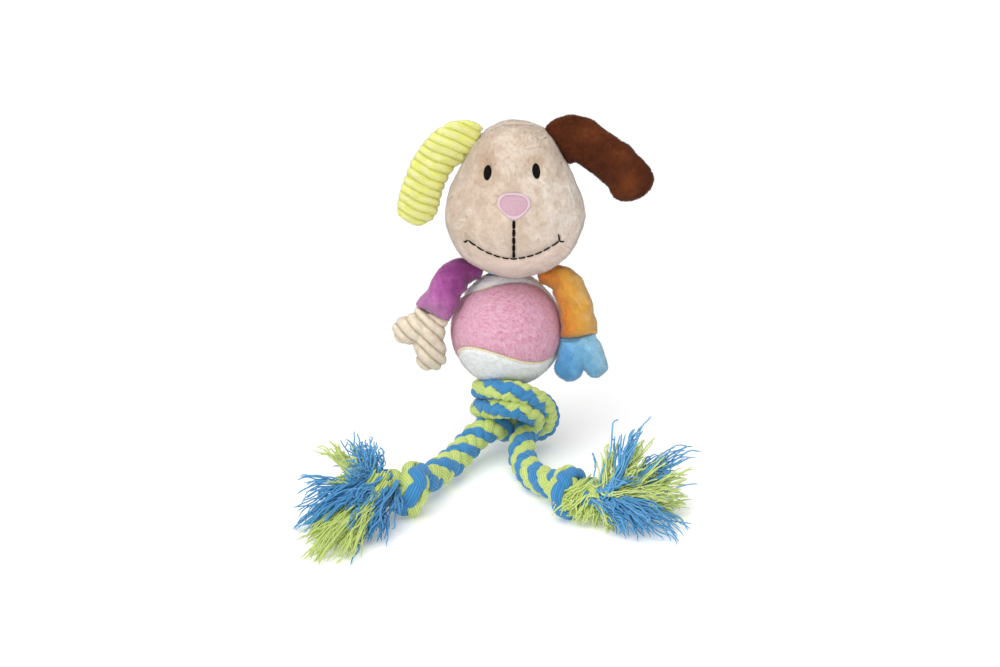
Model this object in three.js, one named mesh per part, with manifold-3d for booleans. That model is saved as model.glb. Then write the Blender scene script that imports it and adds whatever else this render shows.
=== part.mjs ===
// A plush dog toy: a stuffed head with floppy ears and mitten arms on a felt ball, strung on one braided
// rope that is knotted under the ball and ends in two knotted, frayed legs.
// Millimetres, +Z up, +X to the viewer's right, the face looks along -Y.
// The origin is on the floor, under the rope that runs up through the ball.

import * as THREE from 'three';
import { mergeVertices } from 'three/addons/utils/BufferGeometryUtils.js';
import Module from 'manifold-3d';

const wasm = await Module();
wasm.setup();

// Driving dimensions of the rope
const ROPE_DIAMETER = 17;
const SQUEEZED_ROPE_DIAMETER = 11.4;
const ROPE_FOOT_SHARE = 0.1;
const SEAT_GAP = 0.3;
const SOCKET_GAP = 0.7;

// Driving dimensions of the ball
const BALL_DIAMETER = 66.7;
const BALL_CENTRE_HEIGHT = 75.5;
const FELT_THICKNESS = 2.8;
const RUBBER_WALL = 3.4;
const BORE_DIAMETER = 24.6;
const SEAM_WIDTH = 1.3;

// Driving dimensions of the head
const HEAD_WIDTH = 83.2;
const HEAD_DEPTH = 72;
const HEAD_HEIGHT = 92;
const HEAD_SIDE_OFFSET = 4.8;
const HEAD_GAP = 1.3;
const PLUSH_THICKNESS = 1.8;
const NECK_HOLE_GAP = 0.6;
const LOOP_HEIGHT = 36;
const SQUEAKER_DIAMETER = 32;
const SQUEAKER_THICKNESS = 13;
const SQUEAKER_MOUTH_DIAMETER = 6;

// Driving dimensions of the embroidery
const EYE_WIDTH = 3.8;
const EYE_HEIGHT = 7.8;
const EYE_SPACING = 28.5;
const EYE_HEIGHT_ABOVE_CHIN = 71.5;
const NOSE_WIDTH = 18.4;
const NOSE_HEIGHT = 14.4;
const NOSE_HEIGHT_ABOVE_CHIN = 53.5;
const NOSE_BORDER_WIDTH = 1.7;
const MOUTH_WIDTH = 52;
const MOUTH_HEIGHT_ABOVE_CHIN = 22;
const MOUTH_RISE = 9;
const STITCH_WIDTH = 1.1;
const STITCH_PROUD = 0.9;

// Ready-made rotations and the number of facets round a form
const QUARTER_TURN = Math.PI / 2;
const ROPE_SIDES = 10;
const HEAD_SIDES = 24;
const LIMB_SIDES = 16;
const BALL_SIDES = 24;
const CUT_SPAN = 10 * HEAD_HEIGHT;

// Solids: closed meshes that can be joined and cut
function closedMesh(positions, indices) {
  let volume = 0;
  const [a, b, c] = [new THREE.Vector3(), new THREE.Vector3(), new THREE.Vector3()];
  for (let i = 0; i < indices.length; i += 3) {
    a.fromArray(positions, 3 * indices[i]);
    b.fromArray(positions, 3 * indices[i + 1]);
    c.fromArray(positions, 3 * indices[i + 2]);
    volume += a.dot(b.cross(c));
  }
  if (volume < 0) indices.reverse();
  const geometry = new THREE.BufferGeometry();
  geometry.setAttribute('position', new THREE.Float32BufferAttribute(positions, 3));
  geometry.setIndex(indices);
  return geometry;
}

function solid(geometry) {
  const bare = geometry.clone();
  bare.deleteAttribute('normal');
  bare.deleteAttribute('uv');
  const merged = mergeVertices(bare);
  const vertProperties = new Float32Array(merged.attributes.position.array);
  const triVerts = new Uint32Array(merged.index.array);
  return new wasm.Manifold(new wasm.Mesh({ numProp: 3, vertProperties, triVerts }));
}

function geometryOf(body) {
  const mesh = body.getMesh();
  const geometry = new THREE.BufferGeometry();
  geometry.setAttribute('position', new THREE.BufferAttribute(mesh.vertProperties, mesh.numProp));
  geometry.setIndex(new THREE.BufferAttribute(mesh.triVerts, 1));
  return geometry;
}

function largestFirst(body) {
  return body.decompose().sort((one, other) => other.volume() - one.volume());
}

// Everything on one side of a flat cut: the block starts at the plane through `point` and runs along `normal`
function halfSpace(point, normal) {
  const block = new THREE.BoxGeometry(CUT_SPAN, CUT_SPAN, CUT_SPAN);
  block.translate(0, 0, CUT_SPAN / 2);
  block.applyQuaternion(new THREE.Quaternion().setFromUnitVectors(new THREE.Vector3(0, 0, 1), normal));
  block.translate(point.x, point.y, point.z);
  return solid(block);
}

const vector = (x, y, z) => new THREE.Vector3(x, y, z);
const BACK = vector(0, 1, 0);
const UP = vector(0, 0, 1);
const DOWN = vector(0, 0, -1);

// A value between the listed shares, which are spaced evenly from 0 to 1
function smoothShare(shares, t) {
  const curve = new THREE.SplineCurve(shares.map((share, i) => new THREE.Vector2(i, share)));
  return Math.max(0, curve.getPoint(t).y);
}

// Rings of points joined into one closed skin, with a point at each end
function skin(rings, firstTip, lastTip) {
  const sides = rings[0].length;
  const positions = rings.flat().concat([firstTip, lastTip]).flatMap((p) => [p.x, p.y, p.z]);
  const indices = [];
  const first = rings.length * sides;
  for (let side = 0; side < sides; side += 1) {
    const next = (side + 1) % sides;
    indices.push(first, next, side);
    for (let ring = 0; ring + 1 < rings.length; ring += 1) {
      const here = ring * sides;
      const above = here + sides;
      indices.push(here + side, here + next, above + side, above + side, here + next, above + next);
    }
    const top = (rings.length - 1) * sides;
    indices.push(top + side, top + next, first + 1);
  }
  return closedMesh(positions, indices);
}

// A stuffed form: rounded sections along a bent spine, wide across the face and thinner through it.
// The width follows its shares; both ends round off through the thickness, as a sewn edge does.
function stuffedForm({ spine, width, depth, widthShares, depthShares, endRounding, rings }) {
  const curve = new THREE.CatmullRomCurve3(spine);
  const length = curve.getLength();
  const sections = [];
  for (let i = 0; i <= rings; i += 1) {
    const t = (1 - Math.cos((Math.PI * i) / rings)) / 2;
    const centre = curve.getPointAt(t);
    const across = curve.getTangentAt(t).cross(BACK).normalize();
    const fromEnd = Math.min(t, 1 - t) * length;
    const inset = 1 - Math.min(1, fromEnd / endRounding);
    const round = Math.sqrt(Math.max(0, 1 - inset * inset));
    const halfWidth = (width / 2) * smoothShare(widthShares, t);
    const halfDepth = (depth / 2) * smoothShare(depthShares, t) * round;
    const ring = [];
    for (let side = 0; side < LIMB_SIDES; side += 1) {
      const turn = (2 * Math.PI * side) / LIMB_SIDES;
      const out = across.clone().multiplyScalar(halfWidth * Math.cos(turn));
      ring.push(centre.clone().add(out).addScaledVector(BACK, halfDepth * Math.sin(turn)));
    }
    sections.push(ring);
  }
  const inner = sections.slice(1, -1);
  const flatEnds = [sections[0], sections[sections.length - 1]];
  const ends = flatEnds.map((ring) => ring.reduce((sum, p) => sum.add(p), vector(0, 0, 0)));
  ends.forEach((sum) => sum.divideScalar(LIMB_SIDES));
  return skin(inner, ends[0], ends[1]);
}

// The rope

function ropeSection(diameter) {
  const shape = new THREE.Shape();
  for (let side = 0; side < ROPE_SIDES; side += 1) {
    const turn = (2 * Math.PI * side) / ROPE_SIDES;
    const x = (diameter / 2) * Math.cos(turn);
    const y = (diameter / 2) * Math.sin(turn);
    if (side === 0) shape.moveTo(x, y);
    else shape.lineTo(x, y);
  }
  shape.closePath();
  return shape;
}

function ropeTube(route, diameter, step) {
  const path = new THREE.CatmullRomCurve3(route.map((point) => vector(...point)));
  const steps = Math.ceil(path.getLength() / step);
  return new THREE.ExtrudeGeometry(ropeSection(diameter), { extrudePath: path, steps, bevelEnabled: false });
}

// The rope's route through the knot: the left strand goes round the left side, over the front and down the
// right, and back under the right strand, which drops through that loop and comes out over it
const BORE_MOUTH_HEIGHT = 41.5;
const WRAP_ROUTE = [
  [-8.7, 0, BORE_MOUTH_HEIGHT],
  [-9.2, 1.5, 35],
  [-15.2, 6.2, 30.5],
  [-23.2, 2.8, 31],
  [-25.5, -5.2, 33.7],
  [-21.5, -12.8, 36.9],
  [-9.2, -25.1, 42.5],
  [-1.5, -29.2, 44.7],
  [7.2, -29.7, 44.6],
  [14.9, -27, 41.1],
  [24.6, -16.8, 29.7],
  [26.8, -10.9, 23.2],
  [25.4, -4.7, 16.7],
  [20.2, 0.3, 11],
  [12.2, 3.2, 7.5],
  [4.4, 2, 6.8],
  [-2.2, -2.2, 7.4],
  [-6, -8, 11.2],
  [-8.6, -14.6, 16.8],
  [-12.8, -21.6, 20.2],
];
const DROP_ROUTE = [
  [8.7, 0, BORE_MOUTH_HEIGHT],
  [8.7, 0.6, 33.5],
  [8.6, -4.6, 26.4],
  [9.2, -12.4, 22.6],
  [9.5, -20.6, 18.6],
  [9.1, -28.4, 14.6],
  [8.6, -35, 11.8],
];
const LEFT_LEG_ROUTE = [
  [-12.8, -21.6, 20.2],
  [-19, -26.5, 17.2],
  [-24.2, -34, 14.4],
  [-29.5, -44.5, 12.4],
  [-36.5, -58, 11.8],
  [-42.5, -69, 12.2],
  [-47, -79, 13],
];
const RIGHT_LEG_ROUTE = [
  [8.6, -35, 11.8],
  [9.2, -41.3, 9.7],
  [11.2, -51, 9],
  [14.8, -63.5, 9.4],
  [21, -75, 10.8],
  [28.5, -84.5, 12.8],
];
const ROPE_STEP = 0.45 * ROPE_DIAMETER;
const FOOT_DEPTH = ROPE_FOOT_SHARE * ROPE_DIAMETER;
const MOUTH_TRIM_RADIUS = 0.75 * ROPE_DIAMETER;

const routeEnd = (route) => vector(...route[route.length - 1]);
const routeStart = (route) => vector(...route[0]);
const endHeading = (route) => routeEnd(route).sub(vector(...route[route.length - 2])).normalize();

// The least clear space between two stretches of rope, or between turns of one stretch
function leastRopeGap(one, other) {
  const paths = [one, other].map((route) => new THREE.CatmullRomCurve3(route.map((p) => vector(...p))));
  const count = 240;
  const points = paths.map((path) => path.getSpacedPoints(count));
  const pitch = paths[0].getLength() / count;
  let least = Infinity;
  for (let i = 0; i <= count; i += 1) {
    for (let j = 0; j <= count; j += 1) {
      const apart = one === other && Math.abs(i - j) * pitch < QUARTER_TURN * ROPE_DIAMETER;
      if (!apart) least = Math.min(least, points[0][i].distanceTo(points[1][j]));
    }
  }
  return least - ROPE_DIAMETER;
}
console.log('least gap of the wrapping strand to itself', leastRopeGap(WRAP_ROUTE, WRAP_ROUTE).toFixed(2));
console.log('least gap between the knot\'s strands', leastRopeGap(WRAP_ROUTE, DROP_ROUTE).toFixed(2));

function ropeBall(centre, diameter) {
  const ball = new THREE.SphereGeometry(diameter / 2, 2 * ROPE_SIDES, ROPE_SIDES);
  ball.translate(centre.x, centre.y, centre.z);
  return solid(ball);
}

// A knot strand starts square at the mouth of the bore and ends in a shallow cup, in which the rounded
// root of the leg turns. It is pressed flat where it stands on the floor.
function knotStrand(route) {
  const cup = ropeBall(routeEnd(route), ROPE_DIAMETER + 2 * SOCKET_GAP);
  const mouth = new THREE.CylinderGeometry(MOUTH_TRIM_RADIUS, MOUTH_TRIM_RADIUS, ROPE_DIAMETER, ROPE_SIDES);
  mouth.rotateX(QUARTER_TURN);
  mouth.translate(routeStart(route).x, routeStart(route).y, BORE_MOUTH_HEIGHT + ROPE_DIAMETER / 2);
  const tube = solid(ropeTube(route, ROPE_DIAMETER, ROPE_STEP));
  return geometryOf(tube.subtract(cup.add(solid(mouth))).intersect(halfSpace(vector(0, 0, 0), UP)));
}

function legRope(route) {
  const root = ropeBall(routeStart(route), ROPE_DIAMETER);
  return solid(ropeTube(route, ROPE_DIAMETER, ROPE_STEP)).add(root);
}

// The end knot: one turn of the rope pulled tight round itself, along its own X axis
const END_KNOT_LENGTH = 22;
const END_KNOT_DIAMETER = 32;
const END_KNOT_CORE_DIAMETER = 15;
const END_KNOT_TURNS = 1.2;
const END_KNOT_SINK_SHARE = 0.12;
const END_KNOT_TUCK_SHARE = 0.5;

function endKnot(clearance) {
  const wrapDiameter = (END_KNOT_DIAMETER - END_KNOT_CORE_DIAMETER) / 2 / (1 - END_KNOT_SINK_SHARE);
  const fullRadius = (END_KNOT_DIAMETER - wrapDiameter) / 2;
  const route = [];
  const points = 14;
  for (let i = 0; i <= points; i += 1) {
    const t = i / points;
    const turn = 2 * Math.PI * END_KNOT_TURNS * t;
    const bulge = END_KNOT_TUCK_SHARE + (1 - END_KNOT_TUCK_SHARE) * Math.sin(Math.PI * t);
    const radius = fullRadius * Math.sqrt(bulge);
    const along = (END_KNOT_LENGTH - wrapDiameter) * (t - 0.5);
    route.push([along, radius * Math.sin(turn), radius * Math.cos(turn)]);
  }
  const coreRadius = END_KNOT_CORE_DIAMETER / 2 + clearance;
  const core = new THREE.CylinderGeometry(
    coreRadius, coreRadius, END_KNOT_LENGTH + 2 * clearance, 2 * ROPE_SIDES);
  core.rotateZ(QUARTER_TURN);
  return solid(ropeTube(route, wrapDiameter + 2 * clearance, wrapDiameter / 2)).add(solid(core));
}

// The tassel: the rope's unlaid yarns, which part into clumps as they fan out from the end knot. Each clump's
// tip is given in shares of the tassel's length: out to the leg's own side, forward and up from the root.
const TASSEL_LENGTH = 64;
const CLUMP_DIAMETER = 11;
const CLUMP_ROOT_DIAMETER = 7;
const CLUMP_TIP_DIAMETER = 6;
const CLUMP_LEAD_SHARE = 0.3;
const CLUMP_SIDES = 7;
const CLUMP_RINGS = 4;
const LEFT_FAN_TURN = -38;
const RIGHT_FAN_TURN = 10;
const LEFT_CLUMP_TIP_SHARES = [
  [0.45, -0.1, 0.39], [0.59, -0.1, 0.3], [0.5, 0.17, 0.29], [0.64, 0.06, 0.04], [0.87, 0.2, -0.07],
  [0.67, 0.46, -0.15], [0.84, 0.72, -0.16], [0.6, 0.96, -0.16], [0.41, 0.98, -0.16], [0.17, 0.64, -0.14],
];
const RIGHT_CLUMP_TIP_SHARES = [
  [0.44, -0.12, 0.53], [0.52, -0.12, 0.32], [0.9, -0.22, 0.19], [0.93, -0.1, 0.09], [0.85, 0.04, -0.06],
  [0.8, 0.2, -0.13], [0.72, 0.36, -0.16], [0.6, 0.48, -0.16], [0.42, 0.5, -0.16], [0.22, 0.3, -0.15],
];

function clump(root, fan, tip) {
  const lead = root.clone().addScaledVector(fan, CLUMP_LEAD_SHARE * root.distanceTo(tip));
  const path = new THREE.QuadraticBezierCurve3(root, lead, tip);
  const frames = path.computeFrenetFrames(CLUMP_RINGS, false);
  const rings = [];
  for (let i = 0; i <= CLUMP_RINGS; i += 1) {
    const t = i / CLUMP_RINGS;
    const ends = CLUMP_ROOT_DIAMETER + (CLUMP_TIP_DIAMETER - CLUMP_ROOT_DIAMETER) * t;
    const radius = (ends + (CLUMP_DIAMETER - ends) * Math.sin(Math.PI * t)) / 2;
    const ring = [];
    for (let side = 0; side < CLUMP_SIDES; side += 1) {
      const turn = (2 * Math.PI * side) / CLUMP_SIDES;
      ring.push(path.getPointAt(t)
        .addScaledVector(frames.normals[i], radius * Math.cos(turn))
        .addScaledVector(frames.binormals[i], radius * Math.sin(turn)));
    }
    rings.push(ring);
  }
  return solid(skin(rings, path.getPointAt(0), path.getPointAt(1)));
}

function tassel(root, fan, side, tipShares) {
  const tips = tipShares.map(([out, forward, up]) => (
    vector(side * out, -forward, up).multiplyScalar(TASSEL_LENGTH).add(root)));
  return tips.map((tip) => clump(root, fan, tip)).reduce((all, one) => all.add(one));
}

// Turns a form made along X to a heading on the floor, moves it to its place and trims it at the floor
function laidOnFloor(body, heading, place) {
  const placed = geometryOf(body);
  placed.rotateZ(Math.atan2(heading.y, heading.x));
  placed.translate(place.x, place.y, place.z);
  return geometryOf(largestFirst(solid(placed).intersect(halfSpace(vector(0, 0, 0), UP)))[0]);
}

// The neck: both strands squeezed side by side through the ball, rounded at the top where the head rocks
const BALL_TOP = BALL_CENTRE_HEIGHT + BALL_DIAMETER / 2;
const NECK_PIVOT = vector(0, 0, BALL_TOP + HEAD_GAP / 2);
const STRAND_OFFSET = (SQUEEZED_ROPE_DIAMETER / 2) * 0.97;

function neckSection(clearance) {
  const shape = new THREE.Shape();
  const radius = SQUEEZED_ROPE_DIAMETER / 2 + clearance;
  const waist = Math.acos(STRAND_OFFSET / radius);
  shape.absarc(STRAND_OFFSET, 0, radius, waist - Math.PI, Math.PI - waist, false);
  shape.absarc(-STRAND_OFFSET, 0, radius, waist, 2 * Math.PI - waist, false);
  return shape;
}

// A pair of strands from one height to another, with the end at the pivot rounded about the X axis
function strandPair(pivotEnd, farEnd, way) {
  const lengthUp = Math.abs(farEnd - pivotEnd);
  const column = new THREE.ExtrudeGeometry(neckSection(0), {
    depth: lengthUp, bevelEnabled: false, curveSegments: ROPE_SIDES,
  });
  column.translate(0, 0, Math.min(pivotEnd, farEnd));
  const radius = SQUEEZED_ROPE_DIAMETER / 2;
  const domeHeight = pivotEnd + way * radius;
  const dome = new THREE.CylinderGeometry(radius, radius, 2 * BORE_DIAMETER, 2 * ROPE_SIDES);
  dome.rotateZ(QUARTER_TURN);
  dome.translate(0, 0, domeHeight);
  const rest = halfSpace(vector(0, 0, domeHeight), vector(0, 0, way));
  return solid(column).intersect(solid(dome).add(rest));
}

function neckRope() {
  return geometryOf(strandPair(NECK_PIVOT.z - SEAT_GAP, BORE_MOUTH_HEIGHT + SEAT_GAP, -1));
}

// Inside the head the rope turns back on itself: the pair closes over in a half circle at the top
function headLoop() {
  const top = NECK_PIVOT.z + LOOP_HEIGHT;
  const bendRadius = STRAND_OFFSET + SQUEEZED_ROPE_DIAMETER / 2;
  const bend = new THREE.CylinderGeometry(bendRadius, bendRadius, BORE_DIAMETER, 2 * ROPE_SIDES);
  bend.translate(0, 0, top - bendRadius);
  const below = halfSpace(vector(0, 0, top - bendRadius), DOWN);
  const pair = strandPair(NECK_PIVOT.z + SEAT_GAP, top, 1);
  return geometryOf(pair.intersect(solid(bend).add(below)));
}

// The ball

const BALL_RADIUS = BALL_DIAMETER / 2;
const CORE_RADIUS = BALL_RADIUS - FELT_THICKNESS;
const FELT_INNER_RADIUS = CORE_RADIUS + SEAT_GAP;
const SEAM_TURN = new THREE.Euler(
  THREE.MathUtils.degToRad(-132.4), THREE.MathUtils.degToRad(61.6), THREE.MathUtils.degToRad(-34.8));

function sphere(radius) {
  return solid(new THREE.SphereGeometry(radius, BALL_SIDES, BALL_SIDES / 2));
}

function cutBore(body) {
  const bore = new THREE.CylinderGeometry(
    BORE_DIAMETER / 2, BORE_DIAMETER / 2, 2 * BALL_DIAMETER, 2 * ROPE_SIDES);
  bore.rotateX(QUARTER_TURN);
  return body.subtract(solid(bore));
}

// The line between two interlocking dog-bone covers, as on a tennis ball: x = a cos t + b cos 3t and so on
const SEAM_SWEEP_SHARE = 0.75;
function seamDirection(t) {
  const sweep = SEAM_SWEEP_SHARE;
  const wave = 1 - sweep;
  const lift = 2 * Math.sqrt(sweep * wave);
  const x = sweep * Math.cos(t) + wave * Math.cos(3 * t);
  const y = sweep * Math.sin(t) - wave * Math.sin(3 * t);
  return vector(x, y, lift * Math.sin(2 * t)).applyEuler(SEAM_TURN).normalize();
}

// A ribbon that stands on the ball along the seam, from one radius to another
function seamRibbon(innerRadius, outerRadius, width) {
  const steps = 84;
  const positions = [];
  const indices = [];
  for (let i = 0; i < steps; i += 1) {
    const t = (2 * Math.PI * i) / steps;
    const out = seamDirection(t);
    const along = seamDirection(t + Math.PI / steps).sub(seamDirection(t - Math.PI / steps));
    const side = out.clone().cross(along).normalize().multiplyScalar(width / 2);
    const corners = [
      out.clone().multiplyScalar(innerRadius).sub(side), out.clone().multiplyScalar(innerRadius).add(side),
      out.clone().multiplyScalar(outerRadius).add(side), out.clone().multiplyScalar(outerRadius).sub(side),
    ];
    corners.forEach((corner) => positions.push(corner.x, corner.y, corner.z));
    const here = 4 * i;
    const next = 4 * ((i + 1) % steps);
    for (let k = 0; k < 4; k += 1) {
      const other = (k + 1) % 4;
      indices.push(here + k, here + other, next + k, next + k, here + other, next + other);
    }
  }
  return solid(closedMesh(positions, indices));
}

// The rubber core is moulded as two half shells, cemented to each other round the middle
function coreHalf(way) {
  const shell = cutBore(sphere(CORE_RADIUS).subtract(sphere(CORE_RADIUS - RUBBER_WALL)));
  const half = halfSpace(vector(0, 0, (way * SEAT_GAP) / 2), vector(0, 0, way));
  return geometryOf(largestFirst(shell.intersect(half))[0]);
}

// Two felt covers, parted along the seam; the one with more of the front is pink
function feltCovers() {
  const whole = cutBore(sphere(BALL_RADIUS).subtract(sphere(FELT_INNER_RADIUS)));
  const blade = seamRibbon(CORE_RADIUS / 2, BALL_DIAMETER, SEAM_WIDTH + 2 * SEAT_GAP);
  const [one, other] = largestFirst(whole.subtract(blade));
  const front = vector(0, -(FELT_INNER_RADIUS + BALL_RADIUS) / 2, 0);
  const probe = new THREE.SphereGeometry(FELT_THICKNESS / 2, 6, 4).translate(front.x, front.y, front.z);
  const oneIsFront = one.intersect(solid(probe)).volume() > other.intersect(solid(probe)).volume();
  return (oneIsFront ? [one, other] : [other, one]).map(geometryOf);
}

// The bore cuts the bead of cement in the seam in two; the front run comes first
function feltSeams() {
  const bead = seamRibbon(FELT_INNER_RADIUS, BALL_RADIUS - FELT_THICKNESS / 6, SEAM_WIDTH);
  const runs = largestFirst(cutBore(bead)).slice(0, 2);
  const reach = (run) => run.boundingBox().min[1];
  return runs.sort((one, other) => reach(one) - reach(other)).map(geometryOf);
}

// The head: an egg, widest low down, round in plan but for its depth. Half widths at equal steps of angle
// from chin to crown, as shares of the half width.
const HEAD_WIDTH_SHARES = [0, 0.27, 0.53, 0.775, 0.925, 0.995, 0.97, 0.85, 0.72, 0.575, 0.41, 0.21, 0];
const CHIN_HEIGHT = BALL_TOP + HEAD_GAP;
const HEAD_CENTRE = vector(HEAD_SIDE_OFFSET, 0, CHIN_HEIGHT + HEAD_HEIGHT / 2);
const HEAD_RINGS = 14;

function headForm(inset) {
  const [halfWidth, halfDepth] = [HEAD_WIDTH / 2 - inset, HEAD_DEPTH / 2 - inset];
  const halfHeight = HEAD_HEIGHT / 2 - inset;
  const rings = [];
  for (let i = 1; i < HEAD_RINGS; i += 1) {
    const rise = i / HEAD_RINGS;
    const share = smoothShare(HEAD_WIDTH_SHARES, rise);
    const z = HEAD_CENTRE.z - halfHeight * Math.cos(Math.PI * rise);
    const ring = [];
    for (let side = 0; side < HEAD_SIDES; side += 1) {
      const turn = (2 * Math.PI * side) / HEAD_SIDES;
      const x = HEAD_CENTRE.x + halfWidth * share * Math.cos(turn);
      ring.push(vector(x, halfDepth * share * Math.sin(turn), z));
    }
    rings.push(ring);
  }
  const below = vector(HEAD_CENTRE.x, 0, HEAD_CENTRE.z - halfHeight);
  const above = vector(HEAD_CENTRE.x, 0, HEAD_CENTRE.z + halfHeight);
  return solid(skin(rings, below, above));
}

// The channel for the rope follows the pair of strands closely
function neckHole(clearance) {
  const hole = new THREE.ExtrudeGeometry(neckSection(clearance), {
    depth: LOOP_HEIGHT + 2 * SEAT_GAP, bevelEnabled: false, curveSegments: ROPE_SIDES,
  });
  hole.translate(0, 0, NECK_PIVOT.z - SEAT_GAP);
  return solid(hole);
}

// The plush skin is two panels, sewn together up the sides and over the crown
function headPanel(way) {
  const shell = headForm(0).subtract(headForm(PLUSH_THICKNESS)).subtract(neckHole(NECK_HOLE_GAP));
  const side = halfSpace(vector(0, (way * SEAT_GAP) / 2, 0), vector(0, way, 0));
  return geometryOf(largestFirst(shell.intersect(side))[0]);
}

// It lies just above the loop, in a pocket that opens into the rope's channel
const SQUEAKER_SEAT = NECK_PIVOT.z + LOOP_HEIGHT + SEAT_GAP;
const SQUEAKER_CENTRE = vector(HEAD_CENTRE.x / 2, 0, SQUEAKER_SEAT + SQUEAKER_DIAMETER / 2);

function squeakerDisc(clearance) {
  const disc = new THREE.CylinderGeometry(
    SQUEAKER_DIAMETER / 2 + clearance, SQUEAKER_DIAMETER / 2 + clearance,
    SQUEAKER_THICKNESS + 2 * clearance, 2 * ROPE_SIDES);
  disc.translate(SQUEAKER_CENTRE.x, 0, SQUEAKER_CENTRE.z);
  return solid(disc);
}

function headStuffing() {
  const pocket = squeakerDisc(SEAT_GAP);
  const channel = neckHole(SEAT_GAP);
  return geometryOf(headForm(PLUSH_THICKNESS + SEAT_GAP).subtract(pocket.add(channel)));
}

// The squeaker: a flat plastic bellows with its reed hole facing forward
function squeaker() {
  const mouth = new THREE.CylinderGeometry(
    SQUEAKER_MOUTH_DIAMETER / 2, SQUEAKER_MOUTH_DIAMETER / 2, SQUEAKER_THICKNESS, ROPE_SIDES);
  mouth.translate(SQUEAKER_CENTRE.x, -SQUEAKER_THICKNESS / 2, SQUEAKER_CENTRE.z);
  return geometryOf(squeakerDisc(0).subtract(solid(mouth)));
}

// Embroidery: an outline in the plane of the face, cut out of a thin layer that follows the head's front
function onFace(outline, proud) {
  const layer = headForm(-proud).subtract(headForm(-SEAT_GAP));
  const stamp = new THREE.ExtrudeGeometry(outline, {
    depth: HEAD_DEPTH, bevelEnabled: false, curveSegments: 8,
  });
  stamp.rotateX(QUARTER_TURN);
  return geometryOf(largestFirst(layer.intersect(solid(stamp)))[0]);
}

const FACE_MIDDLE = HEAD_CENTRE.x - HEAD_SIDE_OFFSET / 3;

function eyeOutline(side) {
  const shape = new THREE.Shape();
  const x = FACE_MIDDLE + (side * EYE_SPACING) / 2 - HEAD_SIDE_OFFSET / 10;
  const z = CHIN_HEIGHT + EYE_HEIGHT_ABOVE_CHIN;
  const lean = THREE.MathUtils.degToRad(side > 0 ? 14 : -4);
  shape.absellipse(x, z, EYE_WIDTH / 2, EYE_HEIGHT / 2, 0, 2 * Math.PI, false, lean);
  return shape;
}

// A rounded triangle, wide at the top; `inset` draws it smaller all round
const NOSE_BULGE_SHARES = { topSide: 0.86, shoulder: 0.62, lowSide: 0.52, tip: 0.3 };
function noseOutline(inset, Kind) {
  const shape = new Kind();
  const halfWidth = NOSE_WIDTH / 2 - inset;
  const halfHeight = NOSE_HEIGHT / 2 - inset;
  const z = CHIN_HEIGHT + NOSE_HEIGHT_ABOVE_CHIN;
  const { topSide, shoulder, lowSide, tip } = NOSE_BULGE_SHARES;
  shape.moveTo(FACE_MIDDLE, z - halfHeight);
  shape.bezierCurveTo(
    FACE_MIDDLE + tip * halfWidth, z - halfHeight, FACE_MIDDLE + halfWidth, z - lowSide * halfHeight * 0.5,
    FACE_MIDDLE + halfWidth, z + shoulder * halfHeight);
  shape.bezierCurveTo(
    FACE_MIDDLE + halfWidth, z + halfHeight, FACE_MIDDLE + topSide * halfWidth, z + halfHeight,
    FACE_MIDDLE, z + halfHeight);
  shape.bezierCurveTo(
    FACE_MIDDLE - topSide * halfWidth, z + halfHeight, FACE_MIDDLE - halfWidth, z + halfHeight,
    FACE_MIDDLE - halfWidth, z + shoulder * halfHeight);
  shape.bezierCurveTo(
    FACE_MIDDLE - halfWidth, z - lowSide * halfHeight * 0.5, FACE_MIDDLE - tip * halfWidth, z - halfHeight,
    FACE_MIDDLE, z - halfHeight);
  return shape;
}

function noseBorder() {
  const shape = noseOutline(0, THREE.Shape);
  shape.holes.push(noseOutline(NOSE_BORDER_WIDTH, THREE.Path));
  return onFace(shape, STITCH_PROUD + SEAT_GAP);
}

function nosePatch() {
  return onFace(noseOutline(NOSE_BORDER_WIDTH + SEAT_GAP, THREE.Shape), STITCH_PROUD);
}

// The mouth: a stitched line from the nose down to a wide smile, with a tick at each corner
function strip(from, to) {
  const along = to.clone().sub(from).normalize().multiplyScalar(STITCH_WIDTH / 2);
  const side = new THREE.Vector2(-along.y, along.x);
  const shape = new THREE.Shape([
    from.clone().sub(along).add(side), from.clone().sub(along).sub(side),
    to.clone().add(along).sub(side), to.clone().add(along).add(side),
  ]);
  return shape;
}

function mouthStitch() {
  const z = CHIN_HEIGHT + MOUTH_HEIGHT_ABOVE_CHIN;
  const at = (share) => new THREE.Vector2(
    FACE_MIDDLE + (share * MOUTH_WIDTH) / 2, z + MOUTH_RISE * Math.pow(Math.abs(share), 1.7));
  const shapes = [];
  const pieces = 12;
  for (let i = 0; i < pieces; i += 1) {
    shapes.push(strip(at((2 * i) / pieces - 1), at((2 * (i + 1)) / pieces - 1)));
  }
  const noseFoot = CHIN_HEIGHT + NOSE_HEIGHT_ABOVE_CHIN - NOSE_HEIGHT / 2;
  const lip = new THREE.Vector2(FACE_MIDDLE, noseFoot - STITCH_WIDTH);
  shapes.push(strip(at(0), lip));
  const tick = MOUTH_RISE / 2;
  shapes.push(strip(at(1), at(1).add(new THREE.Vector2(-tick / 6, tick))));
  shapes.push(strip(at(1), at(1).add(new THREE.Vector2(tick, -tick / 8))));
  shapes.push(strip(at(-1), at(-1).add(new THREE.Vector2(-tick / 2, -tick / 3))));
  const stamps = shapes.map((shape) => {
    const stamp = new THREE.ExtrudeGeometry(shape, { depth: HEAD_DEPTH, bevelEnabled: false });
    return solid(stamp.rotateX(QUARTER_TURN));
  });
  const stamp = stamps.reduce((all, one) => all.add(one));
  const layer = headForm(-STITCH_PROUD).subtract(headForm(-SEAT_GAP));
  return geometryOf(largestFirst(layer.intersect(stamp))[0]);
}

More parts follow.
